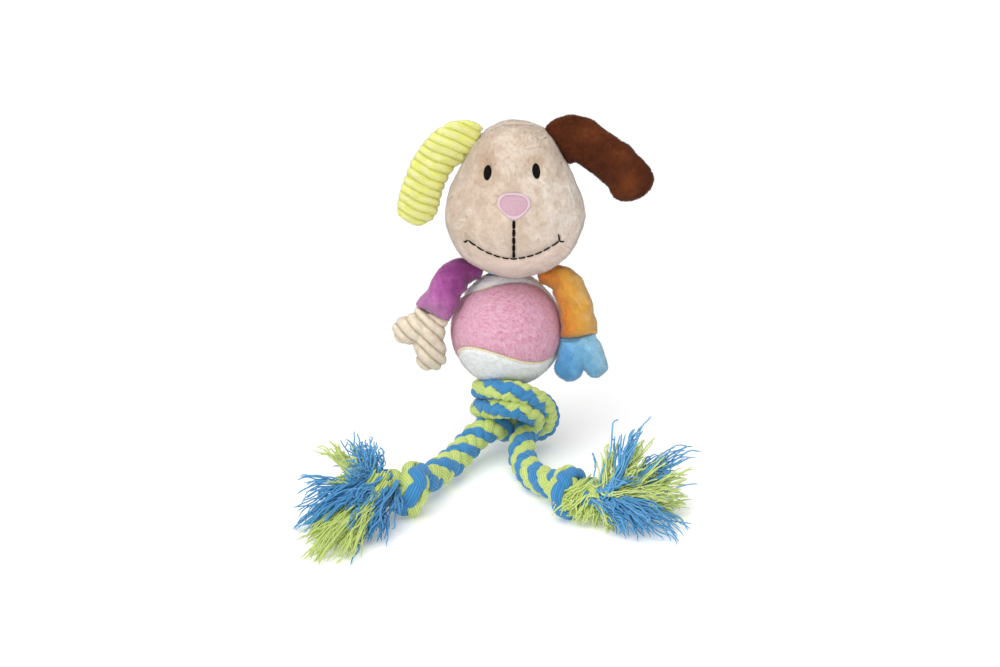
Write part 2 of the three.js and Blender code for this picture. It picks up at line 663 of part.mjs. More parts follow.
// Ears, arms and hands. Each spine runs from its seam outward, in shares of the form's length: out to its own
// side, forward to the face's side, and up.
const LIME_EAR = {
  seamGap: 0.95,
  length: 68,
  width: 24,
  depth: 8.5,
  spineShares: [
    [0, 0, 0], [0.08, 0, 0.035], [0.2, 0, -0.01], [0.32, 0, -0.14], [0.4, 0, -0.32], [0.45, 0, -0.52],
    [0.475, 0, -0.72],
  ],
};
const BROWN_EAR = {
  seamGap: 0.1,
  length: 65,
  width: 27,
  depth: 9.5,
  spineShares: [
    [0, 0, 0], [0.085, 0, 0.05], [0.21, 0, 0.05], [0.355, 0, -0.03], [0.495, 0, -0.145], [0.62, 0, -0.29],
    [0.73, 0, -0.47],
  ],
};
const EAR_WIDTH_SHARES = [0.95, 1.05, 0.98, 0.94, 0.96, 0.98, 0.92, 0.25];
const EAR_DEPTH_SHARES = [0.5, 0.8, 1, 1, 1, 1, 0.8, 0.3];
const EAR_ROUNDING = 6;
const EAR_BACK_OFFSET = 3;
const EAR_SEAM_HEIGHT_SHARE = 0.845;

const LEFT_ARM = {
  length: 36,
  width: 19,
  depth: 15,
  seamOut: 21.5,
  seamHeight: 3.1,
  spineShares: [[0, 0, 0], [0.17, 0.11, -0.02], [0.37, 0.19, -0.19], [0.5, 0.25, -0.42], [0.62, 0.28, -0.63]],
};
const RIGHT_ARM = {
  length: 42,
  width: 20,
  depth: 15,
  seamOut: 26.6,
  seamHeight: 0.2,
  spineShares: [[0, 0, 0], [0.17, 0.1, -0.035], [0.31, 0.17, -0.225], [0.4, 0.22, -0.51], [0.43, 0.24, -0.8]],
};
const ARM_WIDTH_SHARES = [0.62, 0.9, 0.95, 0.92, 0.98, 1.08];
const ARM_DEPTH_SHARES = [0.8, 1, 0.95, 0.95, 1, 0.85];
const ARM_ROUNDING = 5;
const ARM_BACK_OFFSET = -2;
const WRIST_GAP = 0.45;

// A mitten: the palm carries on from the wrist, and the thumb's lobe starts inside it
const LEFT_HAND = {
  length: 36,
  depth: 12,
  palmWidth: 19,
  palmShares: [[0, 0, 0], [0.06, 0.01, -0.13], [0.09, 0.02, -0.4], [0.07, 0.02, -0.68], [0.03, 0.01, -0.98]],
  palmWidthShares: [1.1, 1, 0.95, 0.9, 0.3],
  thumbWidth: 16,
  thumbShares: [[0.16, 0.02, -0.2], [0.38, 0.03, -0.28], [0.64, 0.03, -0.33]],
};
const RIGHT_HAND = {
  length: 28,
  depth: 12,
  palmWidth: 19,
  palmShares: [[0, 0, 0], [0.01, 0.01, -0.13], [-0.08, 0.02, -0.46], [-0.2, 0.02, -0.94]],
  palmWidthShares: [1.1, 1, 0.86, 0.8, 0.3],
  thumbWidth: 14.5,
  thumbShares: [[0.12, 0.02, -0.2], [0.32, 0.03, -0.5], [0.46, 0.03, -0.86]],
};
const THUMB_WIDTH_SHARES = [0.6, 0.9, 1, 0.95, 0.3];
const LOBE_DEPTH_SHARES = [0.8, 1, 1, 0.9, 0.4];
const HAND_ROUNDING = 5;

function spineFrom(shares, length, side) {
  return shares.map(([out, forward, up]) => vector(side * out * length, -forward * length, up * length));
}

// Two panels of one stuffed form, parted along the seam that runs round its edge
function panels(body, seamY) {
  return [-1, 1].map((way) => {
    const half = halfSpace(vector(0, seamY + (way * SEAT_GAP) / 2, 0), vector(0, way, 0));
    return geometryOf(largestFirst(body.intersect(half))[0]);
  });
}

function earBody(ear, side) {
  return solid(stuffedForm({
    spine: spineFrom(ear.spineShares, ear.length, side), width: ear.width, depth: ear.depth,
    widthShares: EAR_WIDTH_SHARES, depthShares: EAR_DEPTH_SHARES, endRounding: EAR_ROUNDING, rings: 14,
  }));
}

function armBody(arm, side) {
  return solid(stuffedForm({
    spine: spineFrom(arm.spineShares, arm.length, side), width: arm.width, depth: arm.depth,
    widthShares: ARM_WIDTH_SHARES, depthShares: ARM_DEPTH_SHARES, endRounding: ARM_ROUNDING, rings: 12,
  }));
}

function handBody(hand, side) {
  const lobe = (shares, width, widthShares) => solid(stuffedForm({
    spine: spineFrom(shares, hand.length, side), width, depth: hand.depth,
    widthShares, depthShares: LOBE_DEPTH_SHARES, endRounding: HAND_ROUNDING, rings: 10,
  }));
  const palm = lobe(hand.palmShares, hand.palmWidth, hand.palmWidthShares);
  return palm.add(lobe(hand.thumbShares, hand.thumbWidth, THUMB_WIDTH_SHARES));
}

// The assembly

const BLUE_ROPE = '#3f8fc4';
const GREEN_ROPE = '#c3d96e';
const BEIGE_PLUSH = '#cfbcab';
const LIME_CORDUROY = '#dfe774';
const BROWN_PLUSH = '#55301d';
const PURPLE_PLUSH = '#8b3f84';
const CREAM_CORDUROY = '#e4dac3';
const TAN_CORDUROY = '#d9b79c';
const ORANGE_PLUSH = '#e2902f';
const BLUE_PLUSH = '#4f9bd6';
const BLACK_RUBBER = '#3a3a3c';
const PINK_FELT = '#e795b9';
const WHITE_FELT = '#eceff1';
const BLACK_THREAD = '#14110f';

function part(parent, name, geometry, colour, roughness) {
  const material = new THREE.MeshStandardMaterial({ color: colour, roughness, metalness: 0 });
  const mesh = new THREE.Mesh(geometry, material);
  mesh.name = name;
  parent.add(mesh);
  return mesh;
}

const toy = new THREE.Group();

const knot = new THREE.Group();
part(knot, 'knot_wrap_strand', knotStrand(WRAP_ROUTE), BLUE_ROPE, 0.85);
part(knot, 'knot_drop_strand', knotStrand(DROP_ROUTE), GREEN_ROPE, 0.85);
part(knot, 'neck_rope', neckRope(), BLUE_ROPE, 0.85);
toy.add(knot);

const ball = new THREE.Group();
ball.position.z = BALL_CENTRE_HEIGHT;
const [pinkCover, whiteCover] = feltCovers();
const [seamFront, seamBack] = feltSeams();
part(ball, 'core_half_lower', coreHalf(-1), BLACK_RUBBER, 0.6);
part(ball, 'core_half_upper', coreHalf(1), BLACK_RUBBER, 0.6);
part(ball, 'felt_pink', pinkCover, PINK_FELT, 0.95);
part(ball, 'felt_white', whiteCover, WHITE_FELT, 0.95);
part(ball, 'felt_seam_front', seamFront, '#efe3b4', 0.7);
part(ball, 'felt_seam_back', seamBack, '#efe3b4', 0.7);
toy.add(ball);

const head = new THREE.Group();
part(head, 'head_front_panel', headPanel(-1), BEIGE_PLUSH, 0.9);
part(head, 'head_back_panel', headPanel(1), BEIGE_PLUSH, 0.9);
part(head, 'head_stuffing', headStuffing(), '#f4f4f2', 0.95);
part(head, 'head_rope_loop', headLoop(), BLUE_ROPE, 0.85);
part(head, 'squeaker', squeaker(), '#f0f0ea', 0.4);
part(head, 'eye_left', onFace(eyeOutline(-1), STITCH_PROUD), BLACK_THREAD, 0.45);
part(head, 'eye_right', onFace(eyeOutline(1), STITCH_PROUD), BLACK_THREAD, 0.45);
part(head, 'nose_border', noseBorder(), '#f3dbe2', 0.45);
part(head, 'nose_patch', nosePatch(), '#dda6c0', 0.8);
part(head, 'mouth_stitch', mouthStitch(), BLACK_THREAD, 0.6);
toy.add(head);

// The head's half width at a share of its height
function headHalfWidth(heightShare) {
  const rise = Math.acos(1 - 2 * heightShare) / Math.PI;
  return (HEAD_WIDTH / 2) * smoothShare(HEAD_WIDTH_SHARES, rise);
}

function addEar(name, ear, side, colour) {
  const place = new THREE.Group();
  const out = headHalfWidth(EAR_SEAM_HEIGHT_SHARE) + ear.seamGap;
  const seamHeight = CHIN_HEIGHT + HEAD_HEIGHT * EAR_SEAM_HEIGHT_SHARE;
  place.position.set(HEAD_CENTRE.x + side * out, EAR_BACK_OFFSET, seamHeight);
  const [front, back] = panels(earBody(ear, side), 0);
  part(place, `${name}_front`, front, colour, 0.95);
  part(place, `${name}_back`, back, colour, 0.95);
  toy.add(place);
}
addEar('ear_lime', LIME_EAR, -1, LIME_CORDUROY);
addEar('ear_brown', BROWN_EAR, 1, BROWN_PLUSH);

function addArm(side, armName, arm, armColour, handName, hand, handColours) {
  const shoulder = new THREE.Group();
  shoulder.position.set(side * arm.seamOut, ARM_BACK_OFFSET, CHIN_HEIGHT + arm.seamHeight);
  part(shoulder, armName, geometryOf(armBody(arm, side)), armColour, 0.95);
  const wrist = new THREE.Group();
  const ends = spineFrom(arm.spineShares, arm.length, side).slice(-2);
  const heading = ends[1].clone().sub(ends[0]).normalize();
  wrist.position.copy(ends[1]).addScaledVector(heading, WRIST_GAP);
  const [front, back] = panels(handBody(hand, side), 0);
  part(wrist, `${handName}_front`, front, handColours[0], 0.95);
  part(wrist, `${handName}_back`, back, handColours[1], 0.95);
  shoulder.add(wrist);
  toy.add(shoulder);
}
addArm(-1, 'arm_purple', LEFT_ARM, PURPLE_PLUSH, 'hand_cream', LEFT_HAND, [CREAM_CORDUROY, TAN_CORDUROY]);
addArm(1, 'arm_orange', RIGHT_ARM, ORANGE_PLUSH, 'hand_blue', RIGHT_HAND, [BLUE_PLUSH, BLUE_PLUSH]);

// A leg: the rope's free stretch, its end knot and the tassel beyond. The knot lies turned out from the leg,
// towards the side to which the tassel fans.
function addLeg(name, side, route, fanTurn, tipShares) {
  const leg = new THREE.Group();
  const heading = endHeading(route);
  const knotCentre = routeEnd(route).addScaledVector(heading, END_KNOT_LENGTH / 2 + SEAT_GAP);
  knotCentre.z = END_KNOT_DIAMETER / 2 - FOOT_DEPTH;
  const fan = vector(heading.x, heading.y, 0).normalize();
  fan.applyAxisAngle(UP, THREE.MathUtils.degToRad(fanTurn));
  const room = solid(laidOnFloor(endKnot(SEAT_GAP), fan, knotCentre));
  const rope = legRope(route).subtract(room);
  const root = knotCentre.clone().addScaledVector(fan, END_KNOT_CORE_DIAMETER / 2);
  const yarns = tassel(root, fan, side, tipShares).subtract(room).intersect(halfSpace(vector(0, 0, 0), UP));
  part(leg, `leg_rope_${name}`, geometryOf(largestFirst(rope)[0]), BLUE_ROPE, 0.85);
  part(leg, `end_knot_${name}`, laidOnFloor(endKnot(0), fan, knotCentre), GREEN_ROPE, 0.85);
  part(leg, `tassel_${name}`, geometryOf(largestFirst(yarns)[0]), BLUE_ROPE, 0.9);
  toy.add(leg);
}
addLeg('left', -1, LEFT_LEG_ROUTE, LEFT_FAN_TURN, LEFT_CLUMP_TIP_SHARES);
addLeg('right', 1, RIGHT_LEG_ROUTE, RIGHT_FAN_TURN, RIGHT_CLUMP_TIP_SHARES);

export default toy;
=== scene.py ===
"""A plush dog toy: a stuffed head with floppy ears and mitten arms over a felt ball, strung on one braided
rope that is knotted under the ball and ends in two knotted, frayed legs. Metres, in the CAD row frame."""
import math

import bpy
import numpy as np
from mathutils import Matrix, Vector
from mathutils.bvhtree import BVHTree


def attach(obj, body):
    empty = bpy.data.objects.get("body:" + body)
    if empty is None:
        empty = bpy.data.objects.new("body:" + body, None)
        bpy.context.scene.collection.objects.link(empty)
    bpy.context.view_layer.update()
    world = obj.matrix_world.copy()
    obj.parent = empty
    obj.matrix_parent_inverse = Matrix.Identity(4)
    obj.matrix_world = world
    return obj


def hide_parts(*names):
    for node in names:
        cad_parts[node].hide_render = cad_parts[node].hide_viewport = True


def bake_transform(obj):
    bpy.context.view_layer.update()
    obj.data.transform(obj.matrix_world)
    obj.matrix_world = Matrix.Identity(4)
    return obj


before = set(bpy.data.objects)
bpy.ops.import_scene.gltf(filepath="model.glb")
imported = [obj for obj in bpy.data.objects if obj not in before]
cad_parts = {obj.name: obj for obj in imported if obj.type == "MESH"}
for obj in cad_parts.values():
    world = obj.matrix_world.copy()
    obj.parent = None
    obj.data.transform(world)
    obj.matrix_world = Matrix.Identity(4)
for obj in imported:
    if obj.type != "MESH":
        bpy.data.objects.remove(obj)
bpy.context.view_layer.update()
MM = 0.001

# The stage: a sheet of white card under and behind the toy, lit by a broad overhead softbox and a smaller one
# from the front left, with the room's own light filling the shadows. The camera stands a little above the toy.
CAMERA_TARGET = Vector((-4.2, 0, 73.3)) * MM
CAMERA_DISTANCE = 1.2
CAMERA_ELEVATION = math.radians(20)
CARD_CORNERS = [(-4, -3, 0), (4, -3, 0), (4, 6, 0), (-4, 6, 0)]
CARD_WHITE, CARD_GLOW = "#fbfbfb", 0.2
LENS_LENGTH, SENSOR_WIDTH = 72.5, 36
SOFTBOXES = (("overhead_softbox", (-0.15, -0.3, 1), 1.6, 60), ("front_left_softbox", (-0.6, -1, 0.75), 0.75, 40))
ROOM_LIGHT, ROOM_SEEN = 0.42, 1.0


def linear(colour):
    """A '#rrggbb' colour as the linear RGBA that a shader takes."""
    parts = [int(colour[i:i + 2], 16) / 255 for i in (1, 3, 5)]
    return tuple(c / 12.92 if c <= 0.04045 else ((c + 0.055) / 1.055) ** 2.4 for c in parts) + (1.0,)


def add(tree, kind, inputs=None, **settings):
    """One shader node's first output; an input is a plain value or another node's output."""
    node = tree.nodes.new("ShaderNode" + kind)
    for name, value in settings.items():
        setattr(node, name, value)
    for socket, value in (inputs or {}).items():
        if isinstance(value, bpy.types.NodeSocket):
            tree.links.new(value, node.inputs[socket])
        else:
            node.inputs[socket].default_value = value
    return node.outputs[0]


def maths(tree, operation, *values, **settings):
    return add(tree, "Math", dict(enumerate(values)), operation=operation, **settings)


def remap(tree, value, low, high, begin=0.0, end=1.0):
    """A value from begin to end, moved to between low and high."""
    return add(tree, "MapRange", {"Value": value, "From Min": begin, "From Max": end, "To Min": low, "To Max": high})


def material(name, draw, **constants):
    """A Principled material. draw(tree) gives the colour and the height of the surface in metres, and for pile
    also the way that it faces."""
    made = bpy.data.materials.new(name)
    made.use_nodes = True
    tree = made.node_tree
    shader = tree.nodes["Principled BSDF"]
    for socket, value in constants.items():
        shader.inputs[socket.replace("_", " ")].default_value = value
    colour, height, *normal = draw(tree)
    if isinstance(colour, bpy.types.NodeSocket):
        tree.links.new(colour, shader.inputs["Base Color"])
    else:
        shader.inputs["Base Color"].default_value = colour
    if height is not None:
        bump = add(tree, "Bump", {"Height": height, "Distance": 1.0, "Strength": 1.0})
        if normal:
            tree.links.new(normal[0], bump.node.inputs["Normal"])
        tree.links.new(bump, shader.inputs["Normal"])
    return made


card = bpy.data.meshes.new("card_floor")
card.from_pydata(CARD_CORNERS, [], [(0, 1, 2, 3)])
floor = bpy.data.objects.new("card_floor", card)
bpy.context.collection.objects.link(floor)
card.materials.append(material("matt_card", lambda tree: (linear(CARD_WHITE), None), Roughness=0.9,
                              Emission_Color=(1, 1, 1, 1), Emission_Strength=CARD_GLOW))

lens = bpy.data.cameras.new("camera")
lens.lens = LENS_LENGTH
lens.sensor_width = SENSOR_WIDTH
camera = bpy.data.objects.new("camera", lens)
bpy.context.collection.objects.link(camera)
back = Vector((0, -math.cos(CAMERA_ELEVATION), math.sin(CAMERA_ELEVATION)))
camera.location = CAMERA_TARGET + CAMERA_DISTANCE * back
camera.rotation_euler = (math.pi / 2 - CAMERA_ELEVATION, 0, 0)
bpy.context.scene.camera = camera
bpy.context.scene.view_settings.view_transform = "Standard"

for name, direction, strength, spread in SOFTBOXES:
    lamp = bpy.data.lights.new(name, "SUN")
    lamp.energy = strength
    lamp.angle = math.radians(spread)
    holder = bpy.data.objects.new(name, lamp)
    bpy.context.collection.objects.link(holder)
    holder.rotation_euler = Vector(direction).to_track_quat("Z", "Y").to_euler()

world = bpy.data.worlds.new("white_room")
bpy.context.scene.world = world
world.use_nodes = True
tree = world.node_tree
tree.nodes.clear()
path = tree.nodes.new("ShaderNodeLightPath")
seen = maths(tree, "MAXIMUM", path.outputs["Is Camera Ray"], path.outputs["Is Glossy Ray"])
seen = maths(tree, "MAXIMUM", seen, path.outputs["Is Transmission Ray"])
level = remap(tree, seen, ROOM_LIGHT, ROOM_SEEN)
sky = add(tree, "Background", {"Color": (1, 1, 1, 1), "Strength": level})
tree.links.new(sky, tree.nodes.new("ShaderNodeOutputWorld").inputs["Surface"])

# The rope: eight flat strands of soft cotton yarn, four blue and four green, plaited round a core. One
# strand winds one way round while its neighbour winds the other, each over one and under one.
STRAND_RADIUS = 5.2 * MM
STRAND_WEAVE = 1.1 * MM
STRAND_HALF_DEPTH = 2.4 * MM
LEG_PITCH = 35 * MM
YARNS_ACROSS = 8
YARN_DEPTH = 0.28 * MM
ROPE_STEP = 0.75 * MM
CORE_RADIUS = STRAND_RADIUS - 0.6 * MM
STRAND_RIPPLE = 0.12 * MM
STRAND_COVER = 0.54
STRAND_TOP_POWER, STRAND_SAG = 0.85, 0.12
YARN_DRIFT, YARN_DRIFT_LENGTH = 0.6, 21 * MM
YARN_TOP_POWER, YARN_SINK = 0.7, 0.6
UNDERSIDE_POINTS = 5
PLIES_ACROSS, PLIES_ALONG = 4.0, 5.5
PLY_RELIEF, FIBRE_RELIEF = 0.04 * MM, 0.12 * MM
# Each rope colour, and its painted shade in the grooves between yarns
ROPE_BLUE, ROPE_BLUE_GROOVE_SHADE = "#4a97cf", "#2268a0"
ROPE_GREEN, ROPE_GREEN_GROOVE_SHADE = "#d6e68e", "#9fb64a"


def spline(a, b, c, d, t):
    """Smoothly from b to c as t goes from 0 to 1, where a comes before them and d after."""
    return 0.5 * (2 * b + (c - a) * t + (2 * a - 5 * b + 4 * c - d) * t ** 2 + (3 * b - a - 3 * c + d) * t ** 3)


def smooth_route(points, step):
    """Points spaced evenly along a smooth curve through the listed ones, and how far along each lies."""
    knots = np.array(points, float)
    knots = np.vstack([2 * knots[0] - knots[1], knots, 2 * knots[-1] - knots[-2]])
    t = np.linspace(0, 1, 40, endpoint=False)[:, None]
    runs = [spline(*corners, t) for corners in zip(knots, knots[1:], knots[2:], knots[3:])]
    fine = np.vstack(runs + [knots[-2:-1]])
    run = np.r_[0, np.cumsum(np.linalg.norm(np.diff(fine, axis=0), axis=1))]
    where = np.linspace(0, run[-1], max(2, round(run[-1] / step)) + 1)
    return np.stack([np.interp(where, run, fine[:, k]) for k in range(3)], 1), where


def unit(rows):
    return rows / np.maximum(np.linalg.norm(rows, axis=-1, keepdims=True), 1e-12)


def frames(line, start=(0.0, 0.0, 1.0)):
    """Two directions across a line at each of its points, which don't twist round it."""
    heading = unit(np.gradient(line, axis=0))
    across = np.empty_like(line)
    side = np.cross(heading[0], start)
    if np.linalg.norm(side) < 0.1:
        side = np.cross(heading[0], (1.0, 0.0, 0.0))
    for i, way in enumerate(heading):
        side = side - way * (side @ way)
        side = side / np.linalg.norm(side)
        across[i] = side
    return across, np.cross(heading, across)


def tube(line, radius, turn, across, up):
    """A grid of points round a line: a ring at each of its points, with that point's radius."""
    return line[:, None] + radius[:, None, None] * (
        np.cos(turn)[None, :, None] * across[:, None] + np.sin(turn)[None, :, None] * up[:, None])


def faced(name, points, corners, starts, slots, materials):
    """A smooth mesh object. corners lists every face's points in turn, and starts says where each face begins."""
    mesh = bpy.data.meshes.new(name)
    mesh.vertices.add(len(points))
    mesh.vertices.foreach_set("co", points.ravel())
    mesh.loops.add(len(corners))
    mesh.loops.foreach_set("vertex_index", corners)
    mesh.polygons.add(len(starts))
    mesh.polygons.foreach_set("loop_start", starts)
    mesh.polygons.foreach_set("material_index", slots)
    mesh.polygons.foreach_set("use_smooth", np.ones(len(starts), bool))
    for finish in materials:
        mesh.materials.append(finish)
    made = bpy.data.objects.new(name, mesh)
    bpy.context.collection.objects.link(made)
    return made


def mesh_piece(name, parts, materials):
    """One object from grids of points. A part is (points [rows, columns, 3], uv [rows, columns, 2], closed, slot)."""
    points, quads, uvs, slots, start = [], [], [], [], 0
    for grid, uv, closed, slot in parts:
        rows, columns = grid.shape[:2]
        index = start + np.arange(rows * columns).reshape(rows, columns)
        if closed:
            index = np.concatenate([index, index[:, :1]], 1)
        corners = np.stack([index[:-1, :-1], index[:-1, 1:], index[1:, 1:], index[1:, :-1]], -1).reshape(-1, 4)
        quads.append(corners)
        slots.append(np.full(len(corners), slot))
        points.append(grid.reshape(-1, 3))
        uvs.append(uv.reshape(-1, 2))
        start += rows * columns
    corners, uvs = np.vstack(quads).ravel(), np.vstack(uvs)
    made = faced(name, np.vstack(points), corners, np.arange(0, len(corners), 4), np.concatenate(slots), materials)
    made.data.uv_layers.new(name="thread").data.foreach_set("uv", uvs[corners].ravel())
    made.data.update(calc_edges=True)
    return made


def pressed_on_floor(points, depth=2 * MM):
    """Points near or below the floor are pushed up, as where soft rope stands on it."""
    low = points[..., 2] < depth
    points[..., 2] = np.where(low, depth * np.exp((points[..., 2] - depth) / depth), points[..., 2])
    return points


def braid(route, pitch, size, turn, seed, start=(0.0, 0.0, 1.0), step=ROPE_STEP, untwist=((0, 0.0),)):
    """The rope along a route: its core and eight strands as grids, and the centreline.
    pitch, size and untwist are (distance, value) pairs; size is a share of the full thickness, and untwist is the
    share of the plait's turning that a twist of the whole rope takes out again."""
    line, run = smooth_route(route, step)
    across, up = frames(line, start)
    lay = np.interp(run, [p[0] for p in pitch], [p[1] for p in pitch])
    size = np.interp(run, [p[0] for p in size], [p[1] for p in size])
    wound = turn + np.r_[0, np.cumsum(2 * math.pi * np.diff(run) / lay[1:])]
    eased = np.interp(run, [p[0] for p in untwist], [p[1] for p in untwist])
    twist = -np.r_[0, np.cumsum(np.diff(wound) * eased[1:])]
    chance = np.random.default_rng(seed)
    outer = np.linspace(0, math.pi, 4 * YARNS_ACROSS + 1)
    section = np.r_[outer, np.linspace(math.pi, 2 * math.pi, UNDERSIDE_POINTS + 2)[1:-1]]
    yarn = np.r_[outer / math.pi * YARNS_ACROSS, np.linspace(YARNS_ACROSS, 0, UNDERSIDE_POINTS + 2)[1:-1]]
    grids = []
    core = tube(line, CORE_RADIUS * size, section, across, up)
    grids.append((core, np.dstack(np.broadcast_arrays(yarn[None], run[:, None] / MM)), True, 0))
    for strand in range(8):
        way = 1 if strand < 4 else -1
        angle = way * wound + twist + (strand % 4) * math.pi / 2
        over = way * np.cos(4 * wound)
        ripple = sum(chance.normal(0, 0.5) * np.sin(run / chance.uniform(4, 9) / MM + chance.uniform(0, 6))
                     for _ in range(3))
        radius = size * (STRAND_RADIUS + STRAND_WEAVE * (1 + eased) * over + STRAND_RIPPLE * ripple)
        out = np.cos(angle)[:, None] * across + np.sin(angle)[:, None] * up
        centre = line + radius[:, None] * out
        along = unit(np.gradient(centre, axis=0))
        outward = unit(out - along * np.sum(out * along, 1, keepdims=True))
        side = np.cross(along, outward)
        slope = np.cos(np.arctan(2 * math.pi * (STRAND_RADIUS + STRAND_WEAVE) * size / lay))
        half = STRAND_COVER * math.pi / 2 * (STRAND_RADIUS + STRAND_WEAVE) * size * slope * (0.95 + 0.07 * over)
        half = half * (1 + 0.03 * np.roll(ripple, 9))
        drift = YARN_DRIFT * np.sin(run / YARN_DRIFT_LENGTH + strand)
        crest = chance.uniform(0.7, 1.2, YARNS_ACROSS + 4)
        phase = yarn[None] + drift[:, None] + 2
        crest = crest[np.clip(phase.astype(int), 0, YARNS_ACROSS + 3)]
        bead = np.abs(np.sin(math.pi * phase)) ** YARN_TOP_POWER * crest - YARN_SINK
        bead[:, len(outer):] = 0
        bead *= YARN_DEPTH * size[:, None] * np.minimum(1, 6 * np.sin(np.clip(section, 0, math.pi)))[None]
        across_part = np.cos(section)[None] * half[:, None] + bead * np.cos(section)[None]
        round_top = np.sign(np.sin(section)) * np.abs(np.sin(section)) ** STRAND_TOP_POWER
        out_part = round_top[None] * (STRAND_HALF_DEPTH * size)[:, None] + bead * np.sin(section)[None]
        out_part = out_part - STRAND_SAG * across_part ** 2 / half[:, None]
        grid = centre[:, None] + across_part[..., None] * side[:, None] + out_part[..., None] * outward[:, None]
        uv = np.dstack([phase + 20 * strand, np.broadcast_to(run[:, None] / MM, phase.shape)])
        blue = (strand % 4 % 2 == 0) == (way > 0)
        grids.append((pressed_on_floor(grid), uv, True, 0 if blue else 1))
    return grids, line, run


def thread_place(tree):
    """Across and along the yarns or threads of a piece, from its own map."""
    place = add(tree, "UVMap", uv_map="thread")
    return add(tree, "SeparateXYZ", {0: place}).node.outputs[:2]


def cotton(crest, groove):
    """Soft twisted yarns: painted shade between yarns, each yarn a little lighter or darker, fine slanting plies."""
    def draw(tree):
        u, v = thread_place(tree)

        def times(value, factor):
            return maths(tree, "MULTIPLY", value, factor)

        # Painted shade: the colour falls to the groove colour between yarns
        ridge = maths(tree, "POWER", maths(tree, "ABSOLUTE", maths(tree, "SINE", times(u, math.pi))), 0.6)
        ply = maths(tree, "SINE", maths(tree, "ADD", times(v, PLIES_ALONG), times(u, PLIES_ACROSS)))
        place = add(tree, "CombineXYZ", {"X": maths(tree, "FLOOR", u), "Y": times(v, 0.06)})
        shade = add(tree, "TexNoise", {"Vector": place, "Scale": 1.7, "Detail": 2.0})
        place = add(tree, "CombineXYZ", {"X": times(u, 5.0), "Y": times(v, 1.2)})
        fibre = add(tree, "TexNoise", {"Vector": place, "Scale": 1.0, "Detail": 4.0, "Roughness": 0.7})
        light = maths(tree, "ADD", ridge, remap(tree, shade, -0.3, 0.2, 0.3, 0.7))
        light = maths(tree, "ADD", light, remap(tree, fibre, -0.25, 0.25), use_clamp=True)
        mix = add(tree, "Mix", {"Factor": light, 6: linear(groove), 7: linear(crest)}, data_type="RGBA").node
        return mix.outputs[2], maths(tree, "ADD", times(ply, PLY_RELIEF), times(fibre, FIBRE_RELIEF))
    return draw


SOFT_COTTON = {"Roughness": 0.85, "Sheen_Weight": 0.25, "Sheen_Roughness": 0.5, "Specular_IOR_Level": 0.25}
rope_blue = material("cotton_yarn_blue", cotton(ROPE_BLUE, ROPE_BLUE_GROOVE_SHADE), **SOFT_COTTON)
rope_green = material("cotton_yarn_green", cotton(ROPE_GREEN, ROPE_GREEN_GROOVE_SHADE), **SOFT_COTTON)

# The knot: both strands come out of the ball side by side and are tied in one overhand knot. They go round the
# left side and over the front as a band of two squeezed turns; the upper strand goes on down the right side and
# back underneath to become the left leg, and the lower one tucks in behind the band and becomes the right leg.
SQUEEZE = 0.69
WRAP_ROUTE = [
    (-6, 0, 52), (-7.4, 1, 44), (-9.5, 4, 38.8), (-13, 4, 36.2), (-15.4, -1, 37.6), (-15.4, -8, 41.2),
    (-13, -16, 44.4), (-9, -23, 46.8), (-3.5, -28, 48.3), (3, -30.2, 48.5), (9.5, -29.5, 46.6), (15.5, -26.3, 42.6),
    (20.5, -20.6, 36.8), (23.4, -14, 29.6), (24, -8, 22.2), (22, -2.8, 15.6), (16.6, 1, 11.4), (9, 2.4, 9.6),
    (1.5, -2.5, 12.8), (-2.5, -10.5, 17.8), (-7, -17.3, 20.8), (-12.8, -21.6, 20.2)]
LEFT_LEG_ROUTE = [
    (-12.8, -21.6, 20.2), (-19, -26.5, 17.2), (-24.2, -34, 14.4), (-29.5, -44.5, 12.4), (-36.5, -58, 11.8),
    (-42.5, -69, 12.2), (-47, -79, 13)]
DROP_ROUTE = [
    (6, 1, 52), (5, 3, 44), (0, 7, 36), (-8, 8, 29), (-14, 4, 26), (-16, -3, 26.4), (-15, -11, 29.6),
    (-11.6, -19, 32.8), (-6.5, -25.5, 35.6), (0, -29.3, 37), (6.5, -30.3, 36.8), (12.3, -28.3, 34.2), (16, -24, 30.8),
    (17, -18.5, 26), (15, -15.5, 21), (11.6, -18, 17), (9.4, -24, 14.2), (8.8, -30, 12.8), (8.6, -35, 11.8)]
RIGHT_LEG_ROUTE = [
    (8.6, -35, 11.8), (9.2, -41.3, 9.7), (11.2, -51, 9), (14.8, -63.5, 9.4), (21, -75, 10.8),
    (28.5, -84.5, 12.8)]
# An end knot's turn, from where the leg comes in to the tassel's root: along its axis, back and up from its middle
END_KNOT_TURN = [
    (-8.5, 7.5, 3.5), (-6.5, 3.5, 7.6), (-4.6, -2.6, 8.2), (-3, -7.4, 4.6), (-1.4, -8.8, -1), (0.2, -6, -6.4),
    (1.8, 0.4, -8.6), (3.2, 6.4, -5.4), (4.8, 8, 1), (6.6, 4.6, 5.4), (8.8, -0.4, 4), (11.6, -2.4, 0)]
# Each end knot's middle, the way it points, the side that it turns to, and its size as shares of that turn
LEFT_END = ((-57.6, -93, 13.2), (-0.95, -0.31), -1, (1.08, 1, 0.9))
RIGHT_END = ((38.4, -97.5, 12.4), (0.75, -0.66), 1, (1.22, 1, 0.8))
BAND_PITCH = 40 * MM
BAND_UNTWIST = 0.6
END_UNTWIST = 0.45


def end_knot(centre, axis, side, shares):
    ahead = unit(np.array((axis[0], axis[1], 0.0)))
    behind = side * np.array((-ahead[1], ahead[0], 0.0))
    turn = np.array(END_KNOT_TURN) * shares
    return [tuple(np.array(centre) + a * ahead + b * behind + np.array((0, 0, c))) for a, b, c in turn]


